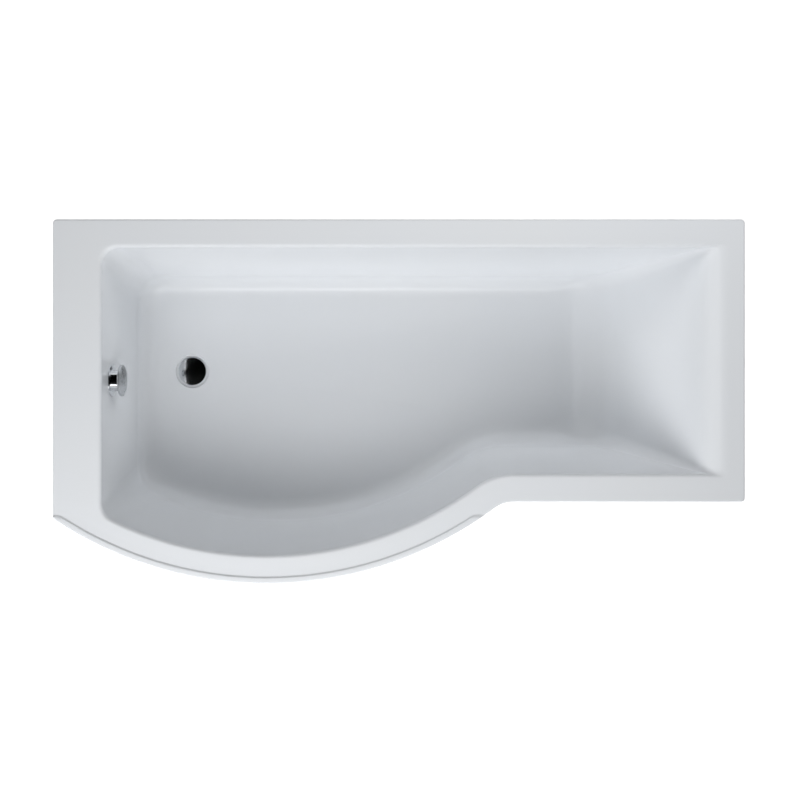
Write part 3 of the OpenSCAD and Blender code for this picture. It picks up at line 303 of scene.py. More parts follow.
def refined(name, node, finish, radius, edit=None, weld=0.0001):
    """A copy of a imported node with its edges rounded."""
    sharp = 35.0
    source = NODES[node].data
    bm = bmesh.new()
    verts = [bm.verts.new(v.co) for v in source.vertices]
    for polygon in source.polygons:
        try:
            bm.faces.new([verts[i] for i in polygon.vertices])
        except ValueError:  # the same face twice
            continue
    bmesh.ops.remove_doubles(bm, verts=bm.verts, dist=weld)
    if edit:
        edit(bm)
    bmesh.ops.dissolve_limit(bm, angle_limit=math.radians(0.4), verts=bm.verts, edges=bm.edges)
    bmesh.ops.recalc_face_normals(bm, faces=bm.faces)
    edges = [e for e in bm.edges if len(e.link_faces) == 2 and e.calc_face_angle(0.0) > math.radians(sharp)]
    bmesh.ops.bevel(bm, geom=edges, offset=radius, offset_type="OFFSET", segments=2, profile=0.5,
                    affect="EDGES", clamp_overlap=True)
    return finished(bpy.data.meshes.new(name), bm, finish, [node], BODY_OF[node], sharp)


def helix(radius, depth, pitch, low, high, segments, bore=0.0):
    """A threaded rod or, with a bore, a threaded tube, along Z between two heights."""
    thread = ((0.08, 0.0), (0.42, 1.0), (0.58, 1.0), (0.92, 0.0))  # place along one turn, share of the depth
    root = radius - depth
    rows = 4 * (math.ceil((high - low) / pitch) + 3)
    points, faces = [], []
    for i in range(rows):
        along, crest = thread[i % 4]
        base = low + (i // 4 - 2 + along) * pitch
        for k, a in enumerate(angles(segments)):
            z = min(max(base + pitch * k / segments, low), high)
            r = min(root + depth * crest, root + (z - low), root + (high - z))
            points.append((r * math.cos(a), r * math.sin(a), z))
    for i in range(rows - 1):
        for a in range(i * segments, (i + 1) * segments - 1):
            faces.append((a, a + 1, a + segments + 1, a + segments))
        if i + 5 < rows:
            a, b = (i + 1) * segments - 1, (i + 4) * segments
            faces.append((a, b, b + segments, a + segments))
    start = len(points)
    inside = ((bore, high), (bore, low)) if bore else ()
    for r, z in ((root, high), *inside, (root, low)):
        points += [(r * math.cos(a), r * math.sin(a), z) for a in angles(segments)]
    if bore:
        return points, faces + strips(4, segments, first=start)
    upper, lower = range(start, start + segments), range(start + segments, start + 2 * segments)
    return points, faces + [tuple(upper), tuple(lower)[::-1]]


def hex_nut(width, height, bore):
    """A hexagon nut with chamfered corners, standing on its lower face at the origin."""
    side, flat, edge = width / 2, 0.96 * width / 2, 0.0006

    def reach(r, a):
        corner = (a + math.pi / 6) % (math.pi / 3) - math.pi / 6
        return side / math.cos(corner) if r >= side else r

    profile = [(bore, edge), (bore + edge, 0.0), (flat, 0.0), (side, 0.0), (side, height), (flat, height),
               (bore + edge, height), (bore, height - edge)]
    points, faces = turned(profile, reach=reach)
    shaped = []
    for x, y, z in points:
        drop = max(0.0, math.hypot(x, y) - flat) * math.tan(math.radians(30))
        shaped.append((x, y, z + drop if z < height / 2 else z - drop))
    return shaped, faces


def screw(shank, length, head, height):
    """A cross-head screw with its shank along +Z and its head below the origin."""
    segments = 48
    slot, arm = 0.13 * head, 0.40 * head

    def cross(scale, z):
        ring = []
        for a in angles(segments):
            c = abs((a + math.pi / 4) % (math.pi / 2) - math.pi / 4)
            r = min(arm / math.cos(c), slot / max(math.sin(c), TINY))
            r = max(r, slot * 1.42) * scale
            ring.append((r * math.cos(a), r * math.sin(a), z))
        return ring

    profile = [(0.0, length), (0.35 * shank, length - 0.1 * shank), (shank, length - 1.6 * shank),
               (shank, 0.0), (head, 0.0)]
    for a in (math.radians(d) for d in range(0, 70, 8)):
        profile.append((head * math.cos(a), -height * (0.35 + 0.65 * math.sin(a))))
    points, faces = turned(profile + [(0.0, 0.0)], segments)
    last = len(points) - 1
    faces = [f for f in faces if last not in f]
    top = min(p[2] for p in points)
    points[last:] = cross(1.0, top) + cross(0.7, top + 0.55 * height)
    faces += strips(3, segments, first=last - segments)
    faces.append(tuple(range(last + segments, last + 2 * segments)))
    return points, [face[::-1] for face in faces]


# ---- Shape of the bath ----

def run_at(d, depth, roll, tilt, foot):
    """How far a wall has run inward at a depth d below the deck."""
    top = roll * (1 - math.sin(tilt))
    low = depth - foot * (1 - math.sin(tilt))
    start = roll * math.cos(tilt)
    end = start + (low - top) * math.tan(tilt) + foot * math.cos(tilt)
    if d <= top:
        return math.sqrt(max(0.0, roll * roll - (roll - d) ** 2))
    if d < low:
        return start + (d - top) * math.tan(tilt)
    return end - math.sqrt(max(0.0, foot * foot - (foot - (depth - d)) ** 2))


def arc(centre, radius, start, stop, count, first):
    a = np.radians(start + (stop - start) * np.arange(first, count + 1) / count)
    return np.asarray(centre) + radius * np.stack([np.cos(a), np.sin(a)], 1)


def between(p, q, count):
    t = (np.arange(1, count) / count)[:, None]
    return np.asarray(p) * (1 - t) + np.asarray(q) * t


def raised(ring, z):
    return np.column_stack([ring, np.full(len(ring), float(z))])


class BathShape:
    """Outlines of the rim, the well and the laminate, anticlockwise from the rear head corner."""

    # points along each stretch
    corner, rear, tap, tail, bulge, stop, neck, front, head = 10, 84, 28, 12, 54, 16, 24, 26, 22
    tail_length = 0.012
    stop_turn = 4.0
    level_gap = 0.0015

    def __init__(self):
        self.s = s = bpy.context.scene.bath_shell
        self.tap_x, self.head_x = -s.length / 2, s.length / 2
        self.rear_y = s.width / 2
        self.front_y = self.rear_y - s.narrow_width
        self.bulge_at = np.array([self.tap_x + s.bulge_from_tap, self.rear_y - s.width + s.bulge_radius])
        neck_y = self.front_y - s.neck_radius
        reach = s.bulge_radius + s.neck_radius
        across = self.bulge_at[1] - neck_y
        self.neck_at = np.array([self.bulge_at[0] + math.sqrt(reach ** 2 - across ** 2), neck_y])
        self.neck_angle = math.degrees(math.asin((self.neck_at[0] - self.bulge_at[0]) / reach))
        self.drain_z = s.rim_height - s.well_depth - s.floor_fall
        centre = middle("plug_cap")
        self.waste = np.array([centre.x, centre.y])

    def outline(self, tap, head, rear, front, r_rear, r_bulge, r_head):
        """The rim's outline brought in by a distance on each side, with three corner radii."""
        s = self.s
        xl, xr = self.tap_x + tap, self.head_x - head
        yr, yf = self.rear_y - rear, self.front_y + front
        rg, rn = s.bulge_radius - front, s.neck_radius + front
        corner_x = xl + r_bulge
        turn = math.degrees(math.asin((corner_x - self.bulge_at[0]) / (rg - r_bulge)))
        corner_y = self.bulge_at[1] - (rg - r_bulge) * math.cos(math.radians(turn))
        tail_y = corner_y + self.tail_length
        ends = self.neck_angle - self.stop_turn
        return np.concatenate([
            arc((xr - r_head, yr - r_head), r_head, 0, 90, self.corner, 0),
            between((xr - r_head, yr), (xl + r_rear, yr), self.rear),
            arc((xl + r_rear, yr - r_rear), r_rear, 90, 180, self.corner, 0),
            between((xl, yr - r_rear), (xl, tail_y), self.tap),
            [(xl, tail_y)],
            between((xl, tail_y), (xl, corner_y), self.tail),
            arc((corner_x, corner_y), r_bulge, 180, 270 + turn, self.corner, 0),
            arc(self.bulge_at, rg, 270 + turn, 270, self.bulge, 1),
            arc(self.bulge_at, rg, 270, 270 + ends, self.bulge, 1),
            arc(self.bulge_at, rg, 270 + ends, 270 + self.neck_angle, self.stop, 1),
            arc(self.neck_at, rn, 90 + self.neck_angle, 90, self.neck, 1),
            between((self.neck_at[0], yf), (xr - r_head, yf), self.front),
            arc((xr - r_head, yf + r_head), r_head, 270, 360, self.corner, 0),
            between((xr, yf + r_head), (xr, yr - r_head), self.head),
        ])

    def inset(self, inset, z):
        r = max(0.001, self.s.edge_corner_radius - inset)
        return raised(self.outline(inset, inset, inset, inset, r, r, r), z)

    def run(self, d, roll, tilt, foot):
        """The wall's run averaged over a short depth, so that its curves pass softly into each other."""
        depth = self.s.well_depth
        reach = min(self.s.ease, d / 4, (depth - d) / 4)
        return sum(run_at(d + reach * k / 4, depth, roll, tilt, foot) for k in range(-4, 5)) / 9

    def well(self, d, t=0.0, margin=0.0):
        """The well's outline at a depth, a thickness t behind the acrylic's face."""
        s = self.s
        side = self.run(d, s.roll_radius - t, s.wall_lean, s.foot_radius + t) + margin
        tap = self.run(d, s.roll_radius - t, s.tap_lean, s.tap_foot_radius + t) + margin
        back = self.run(d, s.back_roll_radius - t, s.back_lean, s.back_foot_radius + t) + margin
        f = d / s.well_depth
        return self.outline(s.deck_tap + tap, s.deck_head + back, s.deck_rear + side, s.deck_front + side,
                            s.rear_corner + s.rear_corner_grow * f + t,
                            s.bulge_corner + s.bulge_corner_grow * f + t,
                            s.head_corner + s.head_corner_grow * f + t)

    def well_ring(self, d, t=0.0):
        return raised(self.well(d, t), self.s.rim_height - t - d)

    def circle(self, radius, z):
        """Ring round the waste, one point for each point of the floor's outline."""
        away = self.well(self.s.well_depth) - self.waste
        away /= np.linalg.norm(away, axis=1)[:, None]
        return raised(self.waste + radius * away, z)

    def floor_rings(self, count, edge, inner):
        """Rings of the floor between its outline and a circle round the waste, with an eased fall."""
        rings = []
        for k in range(count - 1, 0, -1):
            t = k / count
            ring = edge * (1 - t) + inner * t
            ring[:, 2] = edge[:, 2] + (inner[:, 2] - edge[:, 2]) * t * t * (3 - 2 * t)
            rings.append(ring)
        return rings

    def levels(self, top, middle, low):
        """Depths of the well's rings, close together where a wall's curve begins or ends."""
        s = self.s
        roll = s.back_roll_radius * (1 - math.sin(s.back_lean))
        foot = s.well_depth - s.back_foot_radius * (1 - math.sin(s.back_lean))
        side = s.well_depth - s.foot_radius * (1 - math.sin(s.wall_lean))
        tap = s.well_depth - s.tap_foot_radius * (1 - math.sin(s.tap_lean))
        depths = [roll * (k / top) ** 2 for k in range(top + 1)]
        depths += [roll + (foot - roll) * k / middle for k in range(1, middle)]
        depths += [s.well_depth - (s.well_depth - foot) * (k / low) ** 2 for k in range(low, -1, -1)]
        kept = [side - s.ease, side, tap, tap + s.ease]
        kept += [roll - s.ease, roll + s.ease, foot - s.ease, foot + s.ease]
        return sorted(kept + [d for d in depths if min(abs(d - k) for k in kept) > self.level_gap])

    def lip(self, ring):
        """The ring with the lip raised along the bulge."""
        s = self.s
        inward = s.bulge_radius - np.linalg.norm(ring[:, :2] - self.bulge_at, axis=1)
        ends = self.front_y - s.lip_reach - ring[:, 1]
        t = np.clip(np.minimum(s.lip_width - inward, ends) / s.lip_slope, 0, 1)
        ring[:, 2] += s.lip_height * t * t * (3 - 2 * t)
        return ring


def middle(node):
    low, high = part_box(node)
    return (low + high) / 2


def half_width(node):
    low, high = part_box(node)
    return (high.x - low.x) / 2


def overflow_frame():
    """The overflow's frame: Z into the bath along the wall's normal, X down the wall."""
    s = bpy.context.scene.bath_shell
    c, n = math.cos(s.tap_lean), math.sin(s.tap_lean)
    run = run_at(s.overflow_depth, s.well_depth, s.roll_radius, s.tap_lean, s.tap_foot_radius)
    x, z = s.deck_tap + run - s.length / 2, s.rim_height - s.overflow_depth
    return Matrix(((n, 0, c, x), (0, 1, 0, middle("knob_spindle").y), (-c, 0, n, z), (0, 0, 0, 1)))


# ---- Materials ----

class Tree:
    """Adds nodes to a shader tree or a node group and links them."""

    def __init__(self, tree):
        self.tree = tree

    def add(self, kind, inputs=None, **settings):
        node = self.tree.nodes.new(kind if kind.startswith("NodeGroup") else "ShaderNode" + kind)
        for key, value in settings.items():
            setattr(node, key, value)
        for key, value in (inputs or {}).items():
            socket = node.inputs[key]
            if isinstance(value, bpy.types.NodeSocket):
                self.link(value, socket)
            else:
                socket.default_value = (*value, 1.0) if socket.type == "RGBA" else value
        return node

    def link(self, a, b):
        self.tree.links.new(a, b)

    def math(self, operation, a, b=0.0, clamp=False):
        return self.add("Math", {0: a, 1: b}, operation=operation, use_clamp=clamp).outputs[0]

    def times(self, a, b):
        return self.math("MULTIPLY", a, b)

    def plus(self, a, b):
        return self.math("ADD", a, b)

    def over(self, a, b):
        return self.math("DIVIDE", a, b)

    def ramp(self, factor, low, high, a=0.0, b=1.0, kind="SMOOTHSTEP"):
        ends = {"Value": factor, "From Min": low, "From Max": high, "To Min": a, "To Max": b}
        return self.add("MapRange", ends, interpolation_type=kind).outputs["Result"]

    def mix(self, factor, a, b):
        return self.add("Mix", {0: factor, 6: a, 7: b}, data_type="RGBA").outputs[2]

    def vector(self, operation, a, b):
        """A vector scaled by a number, or two vectors added."""
        second = "Scale" if operation == "SCALE" else 1
        return self.add("VectorMath", {0: a, second: b}, operation=operation).outputs[0]

    def stretched(self, vector, scale):
        return self.add("Mapping", {"Vector": vector, "Scale": scale}).outputs[0]

    def place(self, scale=(1, 1, 1), turn=(0, 0, 0), shift=(0, 0, 0)):
        """The object's own coordinates, stretched, turned and shifted."""
        where = self.add("TexCoord").outputs["Object"]
        laid = {"Vector": where, "Scale": scale, "Rotation": turn, "Location": shift}
        return self.add("Mapping", laid).outputs[0]

    def noise(self, vector, scale, detail=3.0, rough=0.55):
        inputs = {"Vector": vector, "Scale": scale, "Detail": detail, "Roughness": rough}
        return self.add("TexNoise", inputs).outputs[0]

    def cells(self, vector, scale):
        return self.add("TexVoronoi", {"Vector": vector, "Scale": scale}).outputs["Color"]

    def bump(self, height, distance, strength):
        return self.add("Bump", {"Height": height, "Distance": distance, "Strength": strength}).outputs[0]

    def group(self, name, **inputs):
        return self.add("Group", inputs, node_tree=bpy.data.node_groups[name]).outputs

    def mottle(self, where, scale, low=0.0, high=1.0):
        return self.group("Soft mottle", Vector=where, Scale=scale, Low=low, High=high)["Value"]

    def worn(self, where, radius, amount, base, bare):
        """The base colour with the bare one along its edges."""
        mask = self.group("Edge wear", Vector=where, Radius=radius, Amount=amount)["Mask"]
        return self.mix(mask, base, bare)

    def dust(self, where, amount):
        return self.group("Settled dust", Vector=where, Amount=amount)["Mask"]


def new_group(name, numbers, outputs):
    """A node group with a vector and some numbers as its inputs."""
    group = bpy.data.node_groups.new(name, "ShaderNodeTree")
    sockets = group.interface
    sockets.new_socket(name="Vector", in_out="INPUT", socket_type="NodeSocketVector")
    for label, default in numbers.items():
        given = sockets.new_socket(name=label, in_out="INPUT", socket_type="NodeSocketFloat")
        given.default_value = default
    for label in outputs:
        sockets.new_socket(name=label, in_out="OUTPUT", socket_type="NodeSocketFloat")
    tree = Tree(group)
    return tree, tree.add("NodeGroupInput").outputs, tree.add("NodeGroupOutput").inputs


def soft_mottle():
    """A cloudy value between two limits."""
    tree, given, out = new_group("Soft mottle", {"Scale": 40.0, "Low": 0.0, "High": 1.0}, ["Value"])
    cloud = tree.noise(given["Vector"], given["Scale"], 4.0, 0.6)
    tree.link(tree.ramp(cloud, 0.3, 0.7, given["Low"], given["High"], "LINEAR"), out["Value"])


def edge_wear():
    """A mask of the edges, broken up as by rubbing."""
    tree, given, out = new_group("Edge wear", {"Radius": 0.0008, "Amount": 1.0}, ["Mask"])
    soft = tree.add("Bevel", {"Radius": given["Radius"]}, samples=4).outputs[0]
    true = tree.add("NewGeometry").outputs["Normal"]
    facing = tree.add("VectorMath", {0: soft, 1: true}, operation="DOT_PRODUCT").outputs["Value"]
    rub = tree.ramp(tree.noise(given["Vector"], 260.0, 5.0, 0.65), 0.35, 0.62)
    edge = tree.times(tree.ramp(facing, 0.995, 0.86), rub)
    tree.link(tree.math("MULTIPLY", edge, given["Amount"], True), out["Mask"])


def settled_dust():
    """A patchy mask of what faces up."""
    tree, given, out = new_group("Settled dust", {"Amount": 0.5}, ["Mask"])
    up = tree.add("SeparateXYZ", {0: tree.add("NewGeometry").outputs["Normal"]}).outputs["Z"]
    patch = tree.ramp(tree.noise(given["Vector"], 38.0, 6.0, 0.62), 0.35, 0.68)
    mask = tree.times(tree.ramp(up, 0.35, 0.95), patch)
    tree.link(tree.math("MULTIPLY", mask, given["Amount"], True), out["Mask"])


def chopped_strands():
    """Three layers of short straight strands, each cell of them laid its own way."""
    tree, given, out = new_group("Chopped strands", {"Scale": 1.0}, ["Strands", "Height"])
    base = tree.vector("SCALE", given["Vector"], given["Scale"])
    top = None
    for cell, shift in ((26.0, 0.0), (34.0, 3.1), (43.0, 7.7)):
        where = tree.vector("ADD", base, (shift, shift * 0.7, -shift))
        warp = tree.add("TexNoise", {"Vector": where, "Scale": 18.0, "Detail": 2.0}).outputs[1]
        bent = tree.vector("ADD", where, tree.vector("SCALE", warp, 0.02))
        turn = tree.vector("SCALE", tree.cells(bent, cell), 6.283)
        laid = tree.add("VectorRotate", {"Vector": bent, "Rotation": turn}, rotation_type="EULER_XYZ")
        strand = tree.stretched(laid.outputs[0], (14.0, 520.0, 520.0))
        layer = tree.ramp(tree.noise(strand, 1.0, 2.0, 0.5), 0.50, 0.66)
        top = tree.math("MAXIMUM", top, layer) if top else layer
    tree.link(top, out["Strands"])
    tree.link(tree.plus(tree.times(top, 0.5), tree.noise(base, 60.0)), out["Height"])


def pine_grain():
    """Year rings round the X axis, with fine fibres along it."""
    tree, given, out = new_group("Pine grain", {}, ["Grain", "Height"])
    slow = tree.stretched(given["Vector"], (0.10, 1.0, 1.0))
    years = {"Vector": slow, "Scale": 38.0, "Distortion": 2.4, "Detail": 2.0, "Detail Scale": 0.5}
    rings = tree.add("TexWave", years, wave_type="RINGS", rings_direction="X", wave_profile="SAW")
    rings = rings.outputs["Fac"]
    fibre = tree.noise(tree.stretched(given["Vector"], (30.0, 900.0, 900.0)), 1.0)
    late = tree.times(tree.math("POWER", rings, 2.2), 0.8)
    tree.link(tree.plus(late, tree.times(fibre, 0.35)), out["Grain"])
    tree.link(tree.plus(tree.times(rings, 0.3), fibre), out["Height"])


def tone(name):
    """A colour of the settings."""
    shell, fittings = bpy.context.scene.bath_shell, bpy.context.scene.bath_fittings
    return tuple(getattr(shell if hasattr(shell, name) else fittings, name))


def shaded(base, *factors):
    """The colour times one factor, or times one each for red, green and blue."""
    factors = factors if len(factors) == 3 else factors * 3
    return tuple(min(1.0, c * k) for c, k in zip(base, factors))


def new_material(name, plain):
    """A material of one shader with some plain values."""
    made = bpy.data.materials.new(name)
    made.use_nodes = True
    made.node_tree.nodes.clear()
    tree = Tree(made.node_tree)
    shader = tree.add("BsdfPrincipled", plain)
    tree.link(shader.outputs[0], tree.add("OutputMaterial").inputs["Surface"])
    return made, tree, shader.inputs


# Each of these gives a material's colour, roughness and normal.

def acrylic(tree):
    where = tree.place()
    white, gloss = tone("white"), bpy.context.scene.bath_shell.gloss
    base = tree.mix(tree.mottle(where, 3.0), white, shaded(white, 1.006, 1.002, 0.994))
    height = tree.plus(tree.noise(where, 7.0, 2.0), tree.times(tree.noise(where, 420.0, 2.0), 0.010))
    return base, tree.mottle(where, 9.0, gloss * 0.88, gloss * 1.12), tree.bump(height, 0.0004, 0.35)


def laminate(tree):
    where = tree.place()
    mat = tree.group("Chopped strands", Vector=where)
    base = tree.mix(tree.mottle(where, 14.0), shaded(tone("resin"), 0.80), tone("resin"))
    base = tree.mix(tree.times(mat["Strands"], 0.75), base, tone("strands"))
    base = tree.mix(tree.dust(where, 0.25), base, (0.62, 0.60, 0.56))
    return base, tree.mottle(where, 30.0, 0.30, 0.62), tree.bump(mat["Height"], 0.0012, 0.8)


def board(tree):
    where = tree.place((1.0, 1.0, 2.2))
    coarse = tree.add("SeparateColor", {0: tree.cells(where, 260.0)}).outputs[0]
    fine = tree.add("SeparateColor", {0: tree.cells(where, 620.0)}).outputs[1]
    chips = tree.plus(tree.times(coarse, 0.6), tree.times(fine, 0.4))
    base = tree.mix(tree.ramp(chips, 0.15, 0.85), tone("dark_chip"), tone("pale_chip"))
    base = tree.mix(tree.mottle(where, 6.0, 0.0, 0.45), base, shaded(tone("pale_chip"), 0.72))
    base = tree.mix(tree.dust(where, 0.3), base, (0.62, 0.58, 0.52))
    return base, tree.ramp(chips, 0.0, 1.0, 0.62, 0.85), tree.bump(chips, 0.0005, 0.7)


def pine(tree, turn):
    where = tree.place((1, 1, 1), (0, 0, turn), (0.0, 0.06, -0.50))
    grain = tree.group("Pine grain", Vector=where)
    pale = tone("pale_wood")
    base = tree.mix(tree.ramp(grain["Grain"], 0.15, 1.0), pale, tone("dark_wood"))
    base = tree.mix(tree.mottle(where, 5.0, 0.0, 0.35), base, shaded(pale, 1.15))
    base = tree.worn(where, 0.002, 0.6, base, shaded(pale, 1.25))
    base = tree.mix(tree.dust(where, 0.2), base, (0.66, 0.62, 0.55))
    return base, tree.ramp(grain["Grain"], 0.0, 1.0, 0.70, 0.52), tree.bump(grain["Height"], 0.0006, 0.6)


def zinc(tree):
    where = tree.place()
    grey = tone("zinc")
    base = tree.mix(tree.mottle(where, 22.0), shaded(grey, 0.93, 0.96, 1.03), shaded(grey, 1.05, 1.02, 0.90))
    base = tree.worn(where, 0.0008, 0.55, base, (0.80, 0.80, 0.80))
    dust = tree.dust(where, 0.25)
    rough = tree.math("ADD", tree.mottle(where, 70.0, 0.24, 0.42), tree.times(dust, 0.3), True)
    drawn = tree.noise(tree.place((90.0, 900.0, 900.0)), 1.0, 2.0)
    return tree.mix(dust, base, (0.45, 0.44, 0.42)), rough, tree.bump(drawn, 0.00008, 0.5)


def plated(tree, low, high):
    where = tree.place()
    base = tree.mix(tree.mottle(where, 25.0), tone("chrome"), shaded(tone("chrome"), 0.97, 0.985, 1.0))
    return base, tree.mottle(where, 55.0, low, high), tree.bump(tree.noise(where, 30.0, 1.0), 0.00004, 0.4)


def brushed(tree, metal, low, high, scale):
    where = tree.place()
    lines = tree.noise(tree.place(scale), 1.0)
    base = tree.mix(lines, shaded(tone(metal), 0.88), shaded(tone(metal), 1.10))
    base = tree.worn(where, 0.0006, 0.5, base, shaded(tone(metal), 1.3))
    return base, tree.mottle(where, 90.0, low, high), tree.bump(lines, 0.00006, 0.6)


def moulded(tree, plastic, low, high, grain, dust, lift):
    where = tree.place()
    raw = tone(plastic)
    base = tree.mix(tree.mottle(where, 18.0), shaded(raw, 0.95), shaded(raw, 1.04))
    base = tree.worn(where, 0.0009, 0.5, base, tuple(min(1.0, c + lift) for c in raw))
    base = tree.mix(tree.dust(where, dust), base, (0.42, 0.41, 0.39))
    return base, tree.mottle(where, 120.0, low, high), tree.bump(tree.noise(where, grain, 2.0), 0.0001, 0.5)


METAL = {"Metallic": 1.0}
LACQUER = {"IOR": 1.49, "Coat Weight": 0.25, "Coat Roughness": 0.05}
FINISHES = {
    # finish: the record's slot, the function that builds it, what that is given, the shader's plain values
    "acrylic": ("acrylic_white", acrylic, (), LACQUER),
    "laminate": ("glassfibre", laminate, (), {}),
    "board": ("chipboard", board, (), {}),
    "pine along": ("timber", pine, (0.0,), {}),
    "pine across": ("timber", pine, (math.pi / 2,), {}),
    "zinc": ("zinc_steel", zinc, (), METAL),
    "chrome": ("chrome", plated, (0.025, 0.075), METAL),
    "satin chrome": ("chrome", plated, (0.24, 0.34), METAL),
    "brass": ("brass", brushed, ("brass", 0.18, 0.32, (700.0, 700.0, 2600.0)), METAL),
    "stainless": ("stainless", brushed, ("steel", 0.22, 0.36, (900.0, 900.0, 900.0)), METAL),
    "black plastic": ("black_plastic", moulded, ("black", 0.38, 0.55, 2400.0, 0.18, 0.05), {}),
    "rubber": ("seal_rubber", moulded, ("rubber", 0.55, 0.75, 1500.0, 0.15, 0.03), {}),
    "white plastic": ("white_plastic", moulded, ("body", 0.30, 0.42, 1600.0, 0.12, 0.06), {}),
    "ribbed pipe": ("pipe_plastic", moulded, ("pipe", 0.35, 0.50, 1400.0, 0.12, 0.08), {}),
    "cable sheath": ("cable_sheath", moulded, ("black", 0.30, 0.42, 1800.0, 0.12, 0.04), {}),
}


def material(name):
    """The finish of that name, built when it is first asked for."""
    made = bpy.data.materials.get(name)
    if made is None:
        if "Soft mottle" not in bpy.data.node_groups:
            for build in (soft_mottle, edge_wear, settled_dust, chopped_strands, pine_grain):
                build()
        finish, given, plain = FINISHES[name][1:]
        made, tree, inputs = new_material(name, plain)
        for key, socket in zip(("Base Color", "Roughness", "Normal"), finish(tree, *given)):
            tree.link(socket, inputs[key])
    return made


# ---- Pieces ----

def drilled(obj, radius):
    """Cuts the overflow's hole through a piece."""
    low, high = -0.03, 0.01
    points, faces = moved(turned([(0.0, low), (radius, low), (radius, high), (0.0, high)]), overflow_frame())
    cutter = placed("cutter", raw_mesh("cutter", points, faces))
    cut = obj.modifiers.new("Hole", "BOOLEAN")
    cut.operation, cut.solver, cut.object = "DIFFERENCE", "EXACT", cutter
    bpy.context.view_layer.update()
    done = bpy.data.meshes.new_from_object(obj.evaluated_get(bpy.context.evaluated_depsgraph_get()))
    obj.modifiers.remove(cut)
    old, obj.data = obj.data, done
    done.name = old.name
    for mesh in (old, cutter.data):
        bpy.data.meshes.remove(mesh)


class BATH_OT_acrylic_shell(bpy.types.Operator):
    """Builds the acrylic shell: rim, raised lip, well, backrest and the recess for the waste"""

    bl_idname = "shower_bath.acrylic_shell"
    bl_label = "Acrylic shell"

    # the recess's lower and upper curves: how far outside its radius, and how far above its floor
    # or below the well's floor
    recess_foot = ((-0.002, 0.0), (-0.0012, 0.0002), (-0.0005, 0.0006), (-0.0001, 0.0013))
    recess_brow = ((0.0, 0.0016), (0.0002, 0.0009), (0.0008, 0.0003), (0.0016, 0.00005), (0.0024, 0.0))
    edge = 0.0005  # chamfer of the hole in the recess

    def execute(self, context):
        s = context.scene.bath_shell
        shape = BathShape()
        rim, e, t, edge = s.rim_height, s.edge_radius, s.acrylic, self.edge
        drain_z, low = shape.drain_z, shape.drain_z - s.recess_depth
        hole = half_width("waste_flange") - s.seat_width
        recess = [(hole, low - t + edge), (hole, low - edge), (hole + edge, low)]
        recess += [(s.recess_radius + out, low + up) for out, up in self.recess_foot]
        recess += [(s.recess_radius + out, drain_z - down) for out, down in self.recess_brow]
        drain = shape.circle(s.drain_radius, drain_z)
        rings = [shape.circle(r, z) for r, z in recess] + [drain]
        rings += shape.floor_rings(9, shape.well_ring(s.well_depth), drain)
        rings += [shape.well_ring(d) for d in reversed(shape.levels(16, 14, 20))]
        brim, first = rings[-1], shape.inset(s.lip_width, rim)
        rings += [brim * (1 - k) + first * k for k in (0.06, 0.5)]
        for left in (1.0, 0.94, 0.86, 0.72, 0.5, 0.3, 0.12, 0.0):
            rings.append(shape.lip(shape.inset(s.lip_width - s.lip_slope * (1 - left), rim)))
        rings.append(shape.lip(shape.inset((s.lip_width - s.lip_slope + e) / 2, rim)))
        for a in (math.pi / 2 * k / 6 for k in range(7)):
            rings.append(shape.lip(shape.inset(e * (1 - math.sin(a)), rim - e * (1 - math.cos(a)))))
        foot = rim - s.skirt_drop
        for inset, z in ((0.0, foot + 0.0012), (0.0004, foot + 0.0004), (0.0012, foot), (t - 0.0008, foot),
                         (t, foot + 0.0008), (t, rim - t)):
            rings.append(shape.inset(inset, z))
        rings += [shape.well_ring(d, t) for d in shape.levels(5, 2, 8)]
        for r, z in ((s.drain_radius, drain_z - t), (s.boss_radius, drain_z - t), (s.boss_radius, low - t),
                     (hole + edge, low - t)):
            rings.append(shape.circle(r, z))
        faces = strips(len(rings), len(drain), closed=True)
        shell = piece("acrylic_shell", np.concatenate(rings), faces, "acrylic", ["bath_shell"])
        drilled(shell, s.overflow_hole)
        return {"FINISHED"}


class BATH_OT_laminate(bpy.types.Operator):
    """Builds the glassfibre laminate on the back of the shell"""

    bl_idname = "shower_bath.laminate"
    bl_label = "Glassfibre laminate"

    def execute(self, context):
        s = context.scene.bath_shell
        shape = BathShape()
        t, total = s.acrylic, s.acrylic + s.laminate
        bed, levels, hole = shape.drain_z - total, shape.levels(5, 5, 9), s.boss_radius + 0.0003
        bed_edge = raised(shape.well(s.well_depth, margin=s.bed_margin), bed)
        drain = shape.circle(s.drain_radius, bed)
        rings = [shape.circle(hole, bed), drain, *shape.floor_rings(6, bed_edge, drain), bed_edge]
        rings += [shape.well_ring(d, total) for d in reversed(levels)]
        rings = self.uneven(rings, s.ripple)
        rings += [shape.inset(t, s.rim_height - total), shape.inset(t, s.rim_height - t)]
        rings += [shape.well_ring(d, t) for d in levels]
        rings += [shape.circle(r, shape.drain_z - t) for r in (s.drain_radius, hole)]
        faces = [f[::-1] for f in strips(len(rings), len(drain), closed=True)]
        skin = piece("glassfibre_laminate", np.concatenate(rings), faces, "laminate", ["glassfibre_backing"])
        drilled(skin, s.overflow_hole)
        return {"FINISHED"}

    @staticmethod
    def uneven(rings, amount):
        """The rings moved along their wall by a slow noise, as a hand-rolled laminate lies."""
        lumps = 22.0
        stack = np.array(rings)
        along = np.roll(stack, -1, axis=1) - np.roll(stack, 1, axis=1)
        normal = np.cross(along, np.gradient(stack, axis=0))
        normal /= np.maximum(np.linalg.norm(normal, axis=2)[:, :, None], 1e-12)
        for i in range(2, len(stack) - 1):
            for k in range(stack.shape[1]):
                stack[i, k] += normal[i, k] * amount * noise.noise(Vector(stack[i, k]) * lumps)
        return list(stack)


